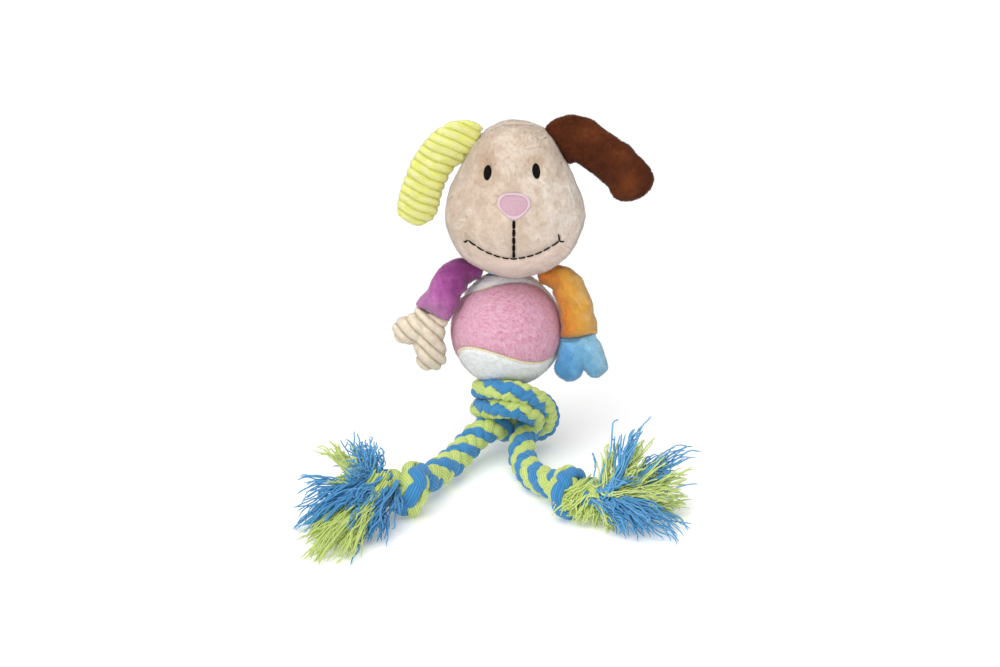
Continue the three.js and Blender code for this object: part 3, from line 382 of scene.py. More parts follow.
def strung_rope(side, knot_route, leg_route, end_route, pitch, size, untwist, turn, seed):
    """One end of the rope as two pieces that meet where the leg leaves the knot. The distances in pitch, size and
    untwist are from that place, negative in the knot."""
    route = np.array(knot_route + leg_route[1:] + end_route, float) * MM
    line, run = smooth_route(route, ROPE_STEP)
    meet = np.argmin(np.linalg.norm(line - np.array(leg_route[0]) * MM, axis=1))
    pitch, size, untwist = ([(run[meet] + at * MM, value) for at, value in pairs] for pairs in (pitch, size, untwist))
    grids, line, run = braid(route, pitch, size, turn, seed, (0.0, 1.0, 0.0), ROPE_STEP, untwist)
    yarns = (rope_blue, rope_green)
    knot = mesh_piece(f"braided_knot_{side}", [(g[:meet + 1], uv[:meet + 1], c, s) for g, uv, c, s in grids], yarns)
    leg = mesh_piece(f"braided_leg_{side}", [(g[meet:], uv[meet:], c, s) for g, uv, c, s in grids], yarns)
    return knot, leg, line[meet:], run[meet:] - run[meet]


left_knot, left_leg, left_line, left_run = strung_rope(
    "left", WRAP_ROUTE, LEFT_LEG_ROUTE, end_knot(*LEFT_END),
    [(-30, BAND_PITCH), (-12, 0.036), (0, 0.032), (68, 0.056)],
    [(-200, SQUEEZE), (-95, SQUEEZE), (-60, 0.85), (-30, 1), (78, 1), (92, 0.95), (140, 0.8)],
    [(-60, BAND_UNTWIST), (-20, 0), (66, 0), (78, END_UNTWIST)], 3.55, 1)
right_knot, right_leg, right_line, right_run = strung_rope(
    "right", DROP_ROUTE, RIGHT_LEG_ROUTE, end_knot(*RIGHT_END),
    [(-30, BAND_PITCH), (-8, 0.039), (52, 0.039), (62, 0.046)],
    [(-200, SQUEEZE), (-34, SQUEEZE), (-4, 1), (62, 1), (76, 0.95), (120, 0.8)],
    [(-30, BAND_UNTWIST), (-6, 0), (52, 0), (62, END_UNTWIST)], 3.3, 2)
for piece, node in ((left_knot, "knot_wrap_strand"), (right_knot, "knot_drop_strand")):
    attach(piece, "rope_knot")
    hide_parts(node)

# The tassels: beyond each end knot the strands are unlaid into nearly eight hundred thin soft yarns. They keep
# together in blue and green bundles that spread from a root as wide as the rope, curl over and rest on the floor.
YARN_RADIUS = 0.48 * MM
YARN_SIDES = 5
YARN_STEPS = 24
BUNDLE_YARNS = 7
FULLNESS = 1.5
CLUMP_SPREAD = 5.6 * MM
ROOT_RADIUS = 10 * MM
FLOOR_REST = 0.8 * MM
YARN_WAVES = ((2.4, 1.0), (5.5, 0.65), (11, 0.3))
# Cut yarns: each colour, and its painted shade in the grooves between yarns
cut_yarn_blue = material("cut_cotton_yarn_blue", cotton("#6cb4e2", "#3d8cc4"), **SOFT_COTTON)
cut_yarn_green = material("cut_cotton_yarn_green", cotton("#e2f0a2", "#b9cf66"), **SOFT_COTTON)
LEFT_CLUMPS = [
    ((-90, -85, 36), 1, 3), ((-84, -86, 43), 0, 4), ((-78, -88, 38), 0, 3), ((-91, -89, 30), 0, 3),
    ((-100, -92, 28), 1, 6), ((-92, -104, 32), 0, 3), ((-102, -98, 18), 1, 4), ((-113, -105, 12), 0, 4),
    ((-116, -114, 6), 0, 4), ((-104, -120, 10), 0, 4), ((-114, -134, 6), 0, 2), ((-112, -142, 4), 1, 4),
    ((-112, -150, 3), 1, 3), ((-99, -157, 3), 1, 3), ((-88, -157, 3), 1, 3), ((-82, -146, 2), 1, 2),
    ((-92, -124, 16), 0, 5), ((-84, -128, 14), 0, 5), ((-75, -139, 6), 0, 5), ((-67, -136, 4), 0, 4),
    ((-98, -126, 12), 0, 3)]
RIGHT_CLUMPS = [
    ((66, -92, 46), 0, 3), ((74, -90, 44), 1, 3), ((72, -92, 36), 1, 3), ((80, -88, 38), 1, 4),
    ((101, -84, 29), 0, 4), ((103, -88, 24), 0, 3), ((98, -92, 30), 1, 3), ((102, -94, 18), 1, 4),
    ((98, -102, 12), 1, 5), ((88, -100, 22), 1, 3), ((95, -110, 6), 1, 4), ((91, -120, 4), 0, 4),
    ((84, -128, 4), 0, 4), ((77, -133, 4), 0, 4), ((69, -128, 4), 0, 3), ((84, -112, 16), 1, 3),
    ((76, -108, 20), 0, 3), ((90, -106, 14), 1, 3), ((57, -118, 4), 1, 3)]


def yarn(begin, heading, end, lift, chance, slot):
    """One loose yarn: it sets out along the rope, arches to its end and is kinked by waves of three lengths."""
    s = np.linspace(0, 1, YARN_STEPS)
    reach = np.linalg.norm(end - begin)
    first = begin + heading * 0.3 * reach
    second = begin + (end - begin) * 0.68 + np.array((0, 0, lift * reach)) + chance.normal(0, 0.03 * reach, 3)
    curve = ((1 - s) ** 3)[:, None] * begin + (3 * (1 - s) ** 2 * s)[:, None] * first + (
        3 * (1 - s) * s ** 2)[:, None] * second + (s ** 3)[:, None] * end
    for wave, amount in YARN_WAVES:
        push = chance.normal(0, amount * MM, 3)
        curve = curve + (np.sin(wave * math.pi * s + chance.uniform(0, 6)) * s ** 1.2)[:, None] * push
    curve[:, 2] = np.maximum(curve[:, 2], YARN_RADIUS)
    across, up = frames(curve)
    turn = np.arange(YARN_SIDES) * 2 * math.pi / YARN_SIDES
    thick = YARN_RADIUS * chance.uniform(0.8, 1.15) * (1 - 0.3 * s ** 8)
    thick[-1] *= 0.4
    grid = tube(curve, thick, turn, across, up)
    run = np.r_[0, np.cumsum(np.linalg.norm(np.diff(curve, axis=0), axis=1))] / MM
    u = np.broadcast_to(np.arange(YARN_SIDES) / YARN_SIDES + 0.25, (YARN_STEPS, YARN_SIDES))
    return grid, np.dstack([u + chance.integers(0, 60), np.broadcast_to(run[:, None], u.shape)]), True, slot


def tassel(side, line, clumps, strays, flap, seed):
    """The yarns of one tassel. clumps are (tip, colour, bundles); each bundle is a few yarns that keep together.
    strays are (tip, lift) of loose single yarns, and flap is (begin, tip, bundles) of those that fray early."""
    chance = np.random.default_rng(seed)
    root, heading = line[-1], unit(line[-1] - line[-8])
    parts = []
    for tip, slot, bundles in clumps:
        tip = np.array(tip) * MM
        for _ in range(round(bundles * FULLNESS)):
            aim = tip + chance.normal(0, CLUMP_SPREAD, 3)
            sideways = (aim - root) - heading * ((aim - root) @ heading)
            sideways = unit(sideways) * min(ROOT_RADIUS, 0.36 * np.linalg.norm(sideways))
            start = root - 5 * MM * heading + sideways + chance.normal(0, 2.6 * MM, 3)
            reach = chance.uniform(0.68, 1.02)
            lift = chance.uniform(0.0, 0.1) + (0.12 if slot == 0 else 0.0)
            for _ in range(BUNDLE_YARNS):
                begin = start + chance.normal(0, 0.9 * MM, 3)
                end = root + (aim - root) * reach * chance.uniform(0.88, 1.04) + chance.normal(0, 2 * MM, 3)
                end[2] = max(end[2], FLOOR_REST)
                parts.append(yarn(begin, heading, end, lift, chance, slot))
    for tip, lift in strays:
        parts.append(yarn(root - 2 * MM * heading, heading, np.array(tip) * MM, lift, chance, 0))
    for begin, tip, bundles in flap:
        for _ in range(bundles * BUNDLE_YARNS):
            first = np.array(begin) * MM + chance.normal(0, 2.2 * MM, 3)
            end = np.array(tip) * MM + chance.normal(0, 2 * MM, 3)
            end[2] = max(end[2], FLOOR_REST)
            parts.append(yarn(first, unit(end - first) + np.array((0, -1.1, 0.5)), end, 0.05, chance, 1))
    return mesh_piece(f"yarn_tassel_{side}", parts, (cut_yarn_blue, cut_yarn_green))


LEFT_STRAYS = [((-78, -128, 1), 0.02), ((-88, -135, 1), 0.05), ((-98, -86, 26), 0.1), ((-120, -110, 10), 0.1),
               ((-84, -162, 1), 0.02), ((-70, -92, 40), 0.15)]
RIGHT_STRAYS = [((62, -86, 54), 0.45), ((49, -92, 27), 1.6), ((108, -98, 20), 0.1), ((100, -116, 3), 0.05),
                ((60, -124, 1), 0.1)]
RIGHT_FLAP = [((45, -100, 21), (28, -108, 12), 2), ((46, -101, 20), (32, -111, 10), 3),
              ((48, -101, 19), (40, -114, 5), 4), ((50, -101, 18), (48, -114, 4), 4),
              ((52, -101, 17), (56, -119, 3), 3)]
left_tassel = tassel("left", left_line, LEFT_CLUMPS, LEFT_STRAYS, [], 11)
right_tassel = tassel("right", right_line, RIGHT_CLUMPS, RIGHT_STRAYS, RIGHT_FLAP, 12)
for side, leg, tuft, line, run in (("left", left_leg, left_tassel, left_line, left_run),
                                   ("right", right_leg, right_tassel, right_line, right_run)):
    body = f"{side}_leg"
    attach(tuft, body)
    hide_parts(f"tassel_{side}")
    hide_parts(f"leg_rope_{side}", f"end_knot_{side}")
    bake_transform(leg)

# The rope above the knot: its middle is doubled back into a loop, which the head is sewn over, and both sides of
# the loop go down through the ball side by side, squeezed to two thirds of their thickness by its bore.
SQUEEZED_SHARE = 0.67
STRAND_OFFSET = 5.53
NECK_FOOT, NECK_TOP, LOOP_TOP = 52, 109.2, 145.9
NECK_BACK = 2.4
LOOP_STEP = 1.5 * MM


def straight(side, low, high):
    return [(side * STRAND_OFFSET, float(np.interp(z, (80, 104), (0, NECK_BACK))), z)
            for z in np.linspace(low, high, 9)]


def plain_rope(name, routes, seed):
    grids = []
    for i, route in enumerate(routes):
        made, _, _ = braid(np.array(route, float) * MM, [(0, LEG_PITCH)], [(0, SQUEEZED_SHARE)], i, seed + i,
                           (0.0, 1.0, 0.0), LOOP_STEP)
        grids += made
    return mesh_piece(name, grids, (rope_blue, rope_green))


bend = [(STRAND_OFFSET * math.cos(a), NECK_BACK, LOOP_TOP - 2 * STRAND_OFFSET + STRAND_OFFSET * math.sin(a))
        for a in np.linspace(0, math.pi, 9)[1:-1]]
loop_foot = LOOP_TOP - 2 * STRAND_OFFSET
neck = plain_rope("braided_neck", [straight(-1, NECK_FOOT, NECK_TOP), straight(1, NECK_FOOT, NECK_TOP)], 31)
loop = plain_rope("braided_head_loop", [straight(1, NECK_TOP + 1, loop_foot) + bend
                                        + straight(-1, NECK_TOP + 1, loop_foot)[::-1]], 33)
for piece, node, body in ((neck, "neck_rope", "rope_knot"), (loop, "head_rope_loop", "head")):
    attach(piece, body)
    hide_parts(node)

# The ball: a hollow black rubber core in two halves, under two interlocking dog-bone covers of needle felt, one
# pink and one white, that are glued on and parted by a bead of pale cement. A bore for the rope goes through it.
BALL_CENTRE = np.array((0, 0, 75.5))
BALL_RADIUS = 33.35
FELT_THICKNESS = 2.8
BORE_RADIUS = 12.3
COLLAR_DEPTH_SHARE, COLLAR_BACK = 0.54, 2.4
COLLAR_LIFT, COLLAR_REACH = 2.6, 8
SEAM_WIDTH = 1.3
SEAM_SWEEP = 0.75
SEAM_TURN = (Matrix.Rotation(math.radians(-132.4), 3, "X") @ Matrix.Rotation(math.radians(61.6), 3, "Y")
             @ Matrix.Rotation(math.radians(-34.8), 3, "Z"))
PINK_FELT, PINK_FELT_DEEP = "#e2b6c8", "#cf7c9b"
WHITE_FELT, WHITE_FELT_DEEP = "#ffffff", "#d3d9dd"
FELT_PILE = (34000, 1, 0.2, 0.2, 1.2, 0.13, (0, 0, -1))
# How far each colour is raised on the cloth and on the tufts' roots and tips; the roots stay darker than the tips as
# painted shade down in the pile
CLOTH_TINT, TUFT_ROOT_SHADE_TINT, TUFT_TIP_TINT = 1.15, 1.1, 1.25
TUFT_ROOT_DEPTH = 0.15
TUFT_SHADING_LEAN = 0.45


def mottle(points, size, seed, waves=16):
    """A smooth random value about from -1 to 1, which changes over the given size."""
    chance = np.random.default_rng(seed)
    ways = unit(chance.normal(0, 1, (waves, 3))) * (2 * math.pi / size) * chance.uniform(0.5, 1.6, (waves, 1))
    return np.sin(points @ ways.T + chance.uniform(0, 6.3, waves)).sum(1) / math.sqrt(waves)


def surface_normals(points, faces):
    """The normal at each point of a mesh of quads or triangles."""
    corners = points[faces]
    flat = np.cross(corners[:, 1] - corners[:, 0], corners[:, 2] - corners[:, 0])
    if faces.shape[1] == 4:
        flat = flat + np.cross(corners[:, 2] - corners[:, 0], corners[:, 3] - corners[:, 0])
    summed = np.zeros_like(points)
    for k in range(faces.shape[1]):
        np.add.at(summed, faces[:, k], flat)
    return unit(summed)


def napped(name, points, quads, materials, colour_and_painted_light, pile, seed, bare=None, sides=None):
    """A piece of cloth with its pile: a base mesh, in millimetres, and thin tapered tufts rooted all over it.
    dye(points) gives each point's linear colour. pile is (count, length, width, lean, jitter, fleck, comb): how the
    tufts stand, how far their shades differ and the way they are brushed. bare(points) is true where none grows, and
    sides(points) where the second material lies."""
    count, length, width, lean, jitter, fleck, comb = pile
    chance = np.random.default_rng(seed)
    normal = surface_normals(points, quads)
    triangles = np.vstack([quads[:, :3], quads[:, [0, 2, 3]]])
    slots = np.zeros(len(quads), int) if sides is None else sides(points[quads].mean(1)).astype(int)
    piece_slot = np.r_[slots, slots]
    corners = points[triangles]
    area = np.linalg.norm(np.cross(corners[:, 1] - corners[:, 0], corners[:, 2] - corners[:, 0]), axis=1)
    pick = chance.choice(len(triangles), count, p=area / area.sum())
    share = chance.dirichlet((1, 1, 1), count)[..., None]
    root = (corners[pick] * share).sum(1)
    if bare is not None:
        stays = ~bare(root)
        pick, share, root = pick[stays], share[stays], root[stays]
    out = unit((normal[triangles[pick]] * share).sum(1))
    comb = np.array(comb, float)
    sweep = unit(comb - out * (out @ comb)[:, None])
    way = unit(out + lean * sweep + chance.normal(0, jitter, root.shape))
    way = unit(way + out * np.maximum(0, 0.25 - np.sum(way * out, 1, keepdims=True)))
    across = unit(np.cross(way, out + chance.normal(0, 0.25, root.shape))) * width / 2
    reach = length * chance.uniform(0.6, 1.15, (len(root), 1))
    facing = np.sum(np.cross(2 * across, way) * out, 1, keepdims=True)
    across = np.where(facing < 0, -across, across)
    tufts = np.stack([root - across - TUFT_ROOT_DEPTH * out, root + across - TUFT_ROOT_DEPTH * out,
                      root + way * reach], 1)
    cloth_colour_and_painted_light = colour_and_painted_light(points)
    tuft_colour_and_painted_light = colour_and_painted_light(root) * chance.normal(1, fleck, (len(root), 1))
    everything = np.vstack([points, tufts.reshape(-1, 3)]) * MM
    colours = np.ones((len(everything), 4))
    colours[:len(points), :3] = cloth_colour_and_painted_light * CLOTH_TINT
    # Painted shade: each tuft is darker at its roots than at its tip
    tints = (TUFT_ROOT_SHADE_TINT, TUFT_ROOT_SHADE_TINT, TUFT_TIP_TINT)
    colours[len(points):, :3] = np.stack([tuft_colour_and_painted_light * tint for tint in tints], 1).reshape(-1, 3)
    tuft_normal = unit(out + TUFT_SHADING_LEAN * way)
    normals = np.vstack([normal, np.repeat(tuft_normal, 3, 0)])
    loops = np.r_[quads.ravel(), np.arange(3 * len(root)) + len(points)]
    starts = np.r_[np.arange(0, quads.size, 4), quads.size + np.arange(0, 3 * len(root), 3)]
    made = faced(name, everything, loops, starts, np.r_[slots, piece_slot[pick]], materials)
    # Each point's colour, with its painted light and shade, goes to the mesh as one attribute
    shades = made.data.color_attributes.new("colour_and_painted_light", "FLOAT_COLOR", "POINT")
    shades.data.foreach_set("color", np.clip(colours, 0, 1).ravel())
    made.data.update(calc_edges=True)
    made.data.normals_split_custom_set_from_vertices(normals)
    return made


def outward(tree):
    """The surface's own outward normal, also where a thin blade of pile is seen from behind."""
    geometry = tree.nodes.new("ShaderNodeNewGeometry").outputs
    side = maths(tree, "MULTIPLY_ADD", geometry["Backfacing"], -2.0, 1.0)
    return add(tree, "VectorMath", {0: geometry["Normal"], "Scale": side}, operation="SCALE")


def speckled(tree, colour, size, depth, detail, rough, dark, light):
    """A colour made a little darker and lighter over the given size, and a fine relief."""
    place = tree.nodes.new("ShaderNodeTexCoord").outputs["Object"]
    noise = add(tree, "TexNoise", {"Vector": place, "Scale": 1 / size, "Detail": detail, "Roughness": rough})
    level = remap(tree, noise, dark, light, 0.3, 0.7)
    return add(tree, "HueSaturation", {"Color": colour, "Value": level}), maths(tree, "MULTIPLY", noise, depth)


def fibres(size, depth):
    """Cloth coloured by its colour attribute, which also holds its painted light and shade, with lighter and darker
    fibres of the given size.
    """
    def draw(tree):
        colour_and_painted_light = add(tree, "Attribute", attribute_name="colour_and_painted_light")
        return *speckled(tree, colour_and_painted_light, size, depth, 3.0, 0.65, 0.92, 1.08), outward(tree)
    return draw


def rgb(colour):
    return np.array(linear(colour)[:3])


def blend_colours(one, other, share):
    """Colours between two, as the share of the other goes from 0 to 1 at each point."""
    share = np.clip(share, 0, 1)[:, None]
    return one * (1 - share) + other * share


def seam_point(t):
    """The line between the two covers, on a ball of radius 1, in the seam's own frame."""
    wave = 1 - SEAM_SWEEP
    lift = 2 * math.sqrt(SEAM_SWEEP * wave)
    return np.stack([SEAM_SWEEP * np.cos(t) + wave * np.cos(3 * t), SEAM_SWEEP * np.sin(t) - wave * np.sin(3 * t),
                     lift * np.sin(2 * t)], 1)


def bored(local):
    """Points in the bore are moved out to its wall, and down it the further in they were. At the top the felt
    closes in round the two squeezed strands, and they push it up into a low collar."""
    top = local[:, 2] > 0
    share = np.where(top, COLLAR_DEPTH_SHARE, 1.0)
    back = np.where(top, COLLAR_BACK, 0.0)
    plan = np.stack([local[:, 0], (local[:, 1] - back) / share], 1)
    out = np.linalg.norm(plan, axis=1)
    inside = out < BORE_RADIUS
    plan[inside] *= (BORE_RADIUS / np.maximum(out, 1e-6)[inside])[:, None]
    moved = local.copy()
    moved[:, 0] = np.where(inside, plan[:, 0], local[:, 0])
    moved[:, 1] = np.where(inside, plan[:, 1] * share + back, local[:, 1])
    sink = np.minimum(FELT_THICKNESS, (BORE_RADIUS - out[inside]) * share[inside])
    moved[inside, 2] -= np.sign(local[inside, 2]) * sink
    moved[:, 2] += top * COLLAR_LIFT * np.exp(-(np.maximum(out - BORE_RADIUS, 0) / COLLAR_REACH) ** 2)
    return moved, (BORE_RADIUS - out) * share > FELT_THICKNESS


def felt_cover(name, side, seed, colour, deep, finish, node):
    """One dog-bone cover, spanned from the seam to its own middle line and curled down at the edge."""
    t = np.linspace(0, 2 * math.pi, 360, endpoint=False)
    edge = seam_point(t)
    centre_way = np.array((1, side, 0)) / math.sqrt(2)
    reach = np.arctan2(-side * edge[:, 2], edge @ centre_way)
    reach = np.where(reach < -math.pi / 2, reach + 2 * math.pi, reach)
    reach = np.clip(reach, math.radians(-12), math.radians(192))
    middle = np.cos(reach)[:, None] * centre_way + np.sin(reach)[:, None] * np.array((0, 0, -side))
    angle = np.arccos(np.clip(np.sum(edge * middle, 1), -1, 1))[:, None]
    gap = SEAM_WIDTH / 2 / BALL_RADIUS
    rows = []
    for share in np.r_[0, 0, 0.012, 0.03, 0.06, np.linspace(0.1, 1, 34)]:
        s = (gap + share * (angle - gap)) / angle
        rows.append((np.sin((1 - s) * angle) * edge + np.sin(s * angle) * middle) / np.sin(angle))
    shell = np.stack(rows)
    away = np.arccos(np.clip(np.einsum("rcx,cx->rc", shell, edge), -1, 1)) * BALL_RADIUS
    curl = 1.5 * np.maximum(0, 1 - away / 3.2) ** 2
    radius = BALL_RADIUS - curl
    radius[0] = BALL_RADIUS - FELT_THICKNESS
    points = (shell * radius[..., None]).reshape(-1, 3) @ np.array(SEAM_TURN).T
    points = points * (1 + 0.004 * mottle(points, 9, seed)[:, None])
    index = np.arange(len(points)).reshape(shell.shape[:2])
    index = np.concatenate([index, index[:, :1]], 1)
    quads = np.stack([index[:-1, :-1], index[1:, :-1], index[1:, 1:], index[:-1, 1:]], -1).reshape(-1, 4)
    points, lost = bored(points)
    quads = quads[~lost[quads].any(1)]
    if np.sum(surface_normals(points, quads) * points) < 0:
        quads = quads[:, ::-1]
    one, other = rgb(colour), rgb(deep)

    def colour_and_painted_light(where):
        local = where - BALL_CENTRE
        patch = 0.22 * mottle(local, 2.2, seed + 1) + 0.4 * mottle(local, 0.8, seed + 2)
        return blend_colours(one, other, 0.32 + patch)

    made = napped(name, points + BALL_CENTRE, quads, (finish,), colour_and_painted_light, FELT_PILE, seed)
    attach(made, "ball")
    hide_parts(node)


FELT = {"Roughness": 0.95, "Sheen_Weight": 0.2, "Sheen_Roughness": 0.6, "Specular_IOR_Level": 0.2}
FELT_FIBRE, FELT_RELIEF = 0.5 * MM, 0.2 * MM
pink_felt = material("needle_felt_pink", fibres(FELT_FIBRE, FELT_RELIEF), **FELT)
white_felt = material("needle_felt_white", fibres(FELT_FIBRE, FELT_RELIEF), **FELT)
felt_cover("felt_cover_pink", 1, 41, PINK_FELT, PINK_FELT_DEEP, pink_felt, "felt_pink")
felt_cover("felt_cover_white", -1, 42, WHITE_FELT, WHITE_FELT_DEEP, white_felt, "felt_white")


def plain_finish(name, colour, size, depth, **values):
    """One colour, a little lighter and darker over the given size, with a fine relief."""
    def draw(tree):
        return speckled(tree, linear(colour), size, depth, 4.0, 0.6, 0.85, 1.1)
    return material(name, draw, **values)


def finish_node(node, finish):
    for place in bpy.data.objects[node].material_slots:
        place.link = "OBJECT"
        place.material = finish


# Cement that has stood up a little between the felts, uneven along its length, with a faint gloss
seam_cement = plain_finish("rubber_cement_cream", "#efe4ba", 1.2 * MM, 0.15 * MM, Roughness=0.6)
# Moulded rubber, dull, with the faint bloom and orange peel of a mould
black_rubber = plain_finish("moulded_rubber_black", "#242424", 1.6 * MM, 0.06 * MM, Roughness=0.55)
for node in ("felt_seam_front", "felt_seam_back"):
    finish_node(node, seam_cement)
for node in ("core_half_lower", "core_half_upper"):
    finish_node(node, black_rubber)

# The head: short-pile plush sewn from a face panel and a back panel, stuffed tight. The embroidery pulls the
# plush in round the eyes and the mouth, and the seam runs up both sides and over the crown.
HEAD_CENTRE = np.array((4.5, 0, 156.9))
HEAD_HALF = np.array((40.6, 36, 46.8))
HEAD_SHARES = [0, 0.27, 0.53, 0.775, 0.925, 0.995, 0.97, 0.85, 0.72, 0.575, 0.41, 0.21, 0]
FACE_MIDDLE = 3.6
EYES = [((-11.2, 178.3), -4), ((16.3, 179.6), 14)]
EYE_HALF = (2.35, 4)
NOSE = (3.7, 161.5)
NOSE_HALF = (9.2, 7.2)
MOUTH_FOOT, MOUTH_HALF_WIDTH, MOUTH_RISE, MOUTH_POWER = 130, 26, 9, 1.7
# The plush's beige, a paler beige for painted light and paler patches, a warmer beige for the chin, and a tan for
# painted shade and darker patches
BEIGE, BEIGE_PALE_AND_LIT, BEIGE_WARM, BEIGE_TAN_AND_SHADED = "#d5c1ad", "#f0e6da", "#eed4c8", "#bfa48b"
HEAD_PILE = (76000, 0.9, 0.32, 0.6, 0.38, 0.07, (0.1, -0.1, -1))
SEAM_PULL, SEAM_PULL_WIDTH = 1.2, 2.2
STITCH_PULL, STITCH_PULL_WIDTH = 1.1, 2.6
LIP_PULL, LIP_PULL_WIDTH = 1.0, 2.4
EYE_MARGIN, THREAD_MARGIN, LIP_MARGIN = 0.2, 0.55, 0.6
# Spots of painted light, painted shade and warmth: how strong, where from the head's middle, and how far they reach
PAINTED_LIGHT_SPOTS = [(0.2, (2, -30, 12), (14, 40, 26)), (0.8, (30, -20, -2), (14, 40, 26))]
PAINTED_SHADE_SPOTS = [(0.7, (-18, -20, 26), (9, 40, 16)), (0.35, (-30, 0, 0), (12, 60, 30))]
WARM_SPOTS = [(0.85, (-2, -20, -38), (36, 60, 15)), (0.45, (24, -25, -20), (16, 40, 13))]
PLUSH_FIBRE, WALE_FIBRE, PILE_RELIEF = 0.45 * MM, 0.5 * MM, 0.06 * MM


def smooth_shares(values, t):
    """A value between the listed ones, which are spaced evenly from 0 to 1, on a smooth curve."""
    v = np.r_[values[0], values, values[-1]].astype(float)
    place = np.clip(np.asarray(t, float) * (len(values) - 1), 0, len(values) - 1 - 1e-9)
    i = place.astype(int)
    return spline(v[i], v[i + 1], v[i + 2], v[i + 3], place - i)


def sewn_form(name, lobes, voxel, smoothing):
    """One closed skin over the joined lobes: its points in millimetres, and its quads."""
    rough = mesh_piece(name, [(grid * MM, np.zeros(grid.shape[:2] + (2,)), True, 0) for grid in lobes], ())
    close = rough.modifiers.new("close", "REMESH")
    close.mode = "VOXEL"
    close.voxel_size = voxel * MM
    soften = rough.modifiers.new("soften", "SMOOTH")
    soften.iterations = smoothing
    mesh = bpy.data.meshes.new_from_object(rough.evaluated_get(bpy.context.evaluated_depsgraph_get()))
    points = np.empty(3 * len(mesh.vertices))
    mesh.vertices.foreach_get("co", points)
    quads = np.empty(4 * len(mesh.polygons), int)
    mesh.polygons.foreach_get("vertices", quads)
    bpy.data.objects.remove(rough)
    bpy.data.meshes.remove(mesh)
    return points.reshape(-1, 3) / MM, quads.reshape(-1, 4)


def bump_at(points, centre, radius):
    """1 at a centre, falling smoothly to 0 about a radius away; radius may be one for each direction."""
    return np.exp(-np.sum(((points - np.array(centre)) / np.array(radius)) ** 2, 1))


def spots(points, table):
    """The sum of the listed bumps, each (amount, centre, radius)."""
    return sum(amount * bump_at(points, centre, radius) for amount, centre, radius in table)


def mouth_height(x):
    return MOUTH_FOOT + MOUTH_RISE * (np.abs(x - FACE_MIDDLE) / MOUTH_HALF_WIDTH) ** MOUTH_POWER


rise = np.linspace(0, 1, 72)
turn = np.linspace(0, 2 * math.pi, 96, endpoint=False)
width = np.maximum(smooth_shares(HEAD_SHARES, rise), 0)
egg = HEAD_CENTRE + HEAD_HALF * np.stack([
    width[:, None] * np.cos(turn), width[:, None] * np.sin(turn),
    np.repeat(-np.cos(math.pi * rise)[:, None], 96, 1)], -1)
skin, skin_quads = sewn_form("head_form", [egg], 0.9, 3)
skin_normal = surface_normals(skin, skin_quads)
front = skin[:, 1] < 0
pull = 0.5 * mottle(skin, 26, 5) + 0.12 * mottle(skin, 9, 6)
pull -= SEAM_PULL * np.exp(-(skin[:, 1] / SEAM_PULL_WIDTH) ** 2)
pull -= 1.6 * bump_at(skin, (4.8, 0, 202), (7, 9, 5))
for (x, z), _ in EYES:
    pull -= front * 1.5 * bump_at(skin, (x, skin[:, 1].min(), z - 1), (4.6, 60, 6.4))
    pull += front * 0.7 * bump_at(skin, (x, skin[:, 1].min(), z - 12), (8, 60, 6))
pull -= front * 0.8 * bump_at(skin, (NOSE[0], skin[:, 1].min(), NOSE[1]), (11, 60, 9))
from_mouth = np.abs(skin[:, 2] - mouth_height(skin[:, 0]))
on_mouth = front & (np.abs(skin[:, 0] - FACE_MIDDLE) < MOUTH_HALF_WIDTH + 2)
pull -= on_mouth * STITCH_PULL * np.exp(-(from_mouth / STITCH_PULL_WIDTH) ** 2)
on_lip = front & (skin[:, 2] > MOUTH_FOOT) & (skin[:, 2] < NOSE[1] - 6)
pull -= on_lip * LIP_PULL * np.exp(-((skin[:, 0] - FACE_MIDDLE) / LIP_PULL_WIDTH) ** 2)
skin = skin + skin_normal * pull[:, None]
face_tree = BVHTree.FromPolygons([tuple(p) for p in skin], [tuple(q) for q in skin_quads.tolist()])


def on_face(x, z, proud=0.0):
    """The point of the plush that lies behind (x, z), seen from the front, or a point that stands proud of it."""
    spot, normal, _, _ = face_tree.ray_cast(Vector((x, -100, z)), Vector((0, 1, 0)))
    return np.array(spot) + np.array(normal) * proud


def under_stitches(points):
    """True where embroidery presses the pile down."""
    x, y, z = points.T
    hidden = np.zeros(len(points), bool)
    for (ex, ez), lean in EYES:
        a = math.radians(lean)
        u, v = (x - ex) * math.cos(a) + (z - ez) * math.sin(a), (z - ez) * math.cos(a) - (x - ex) * math.sin(a)
        hidden |= (u / (EYE_HALF[0] + EYE_MARGIN)) ** 2 + (v / (EYE_HALF[1] + EYE_MARGIN)) ** 2 < 1
    hidden |= (np.abs(x - NOSE[0]) / 9) ** 2.6 + (np.abs(z - NOSE[1] - 0.6) / 7) ** 2.6 < 1
    hidden |= (np.abs(z - mouth_height(x)) < THREAD_MARGIN) & (np.abs(x - FACE_MIDDLE) < MOUTH_HALF_WIDTH)
    hidden |= (np.abs(x - FACE_MIDDLE) < LIP_MARGIN) & (z > MOUTH_FOOT) & (z < NOSE[1])
    return hidden & (y < 0)


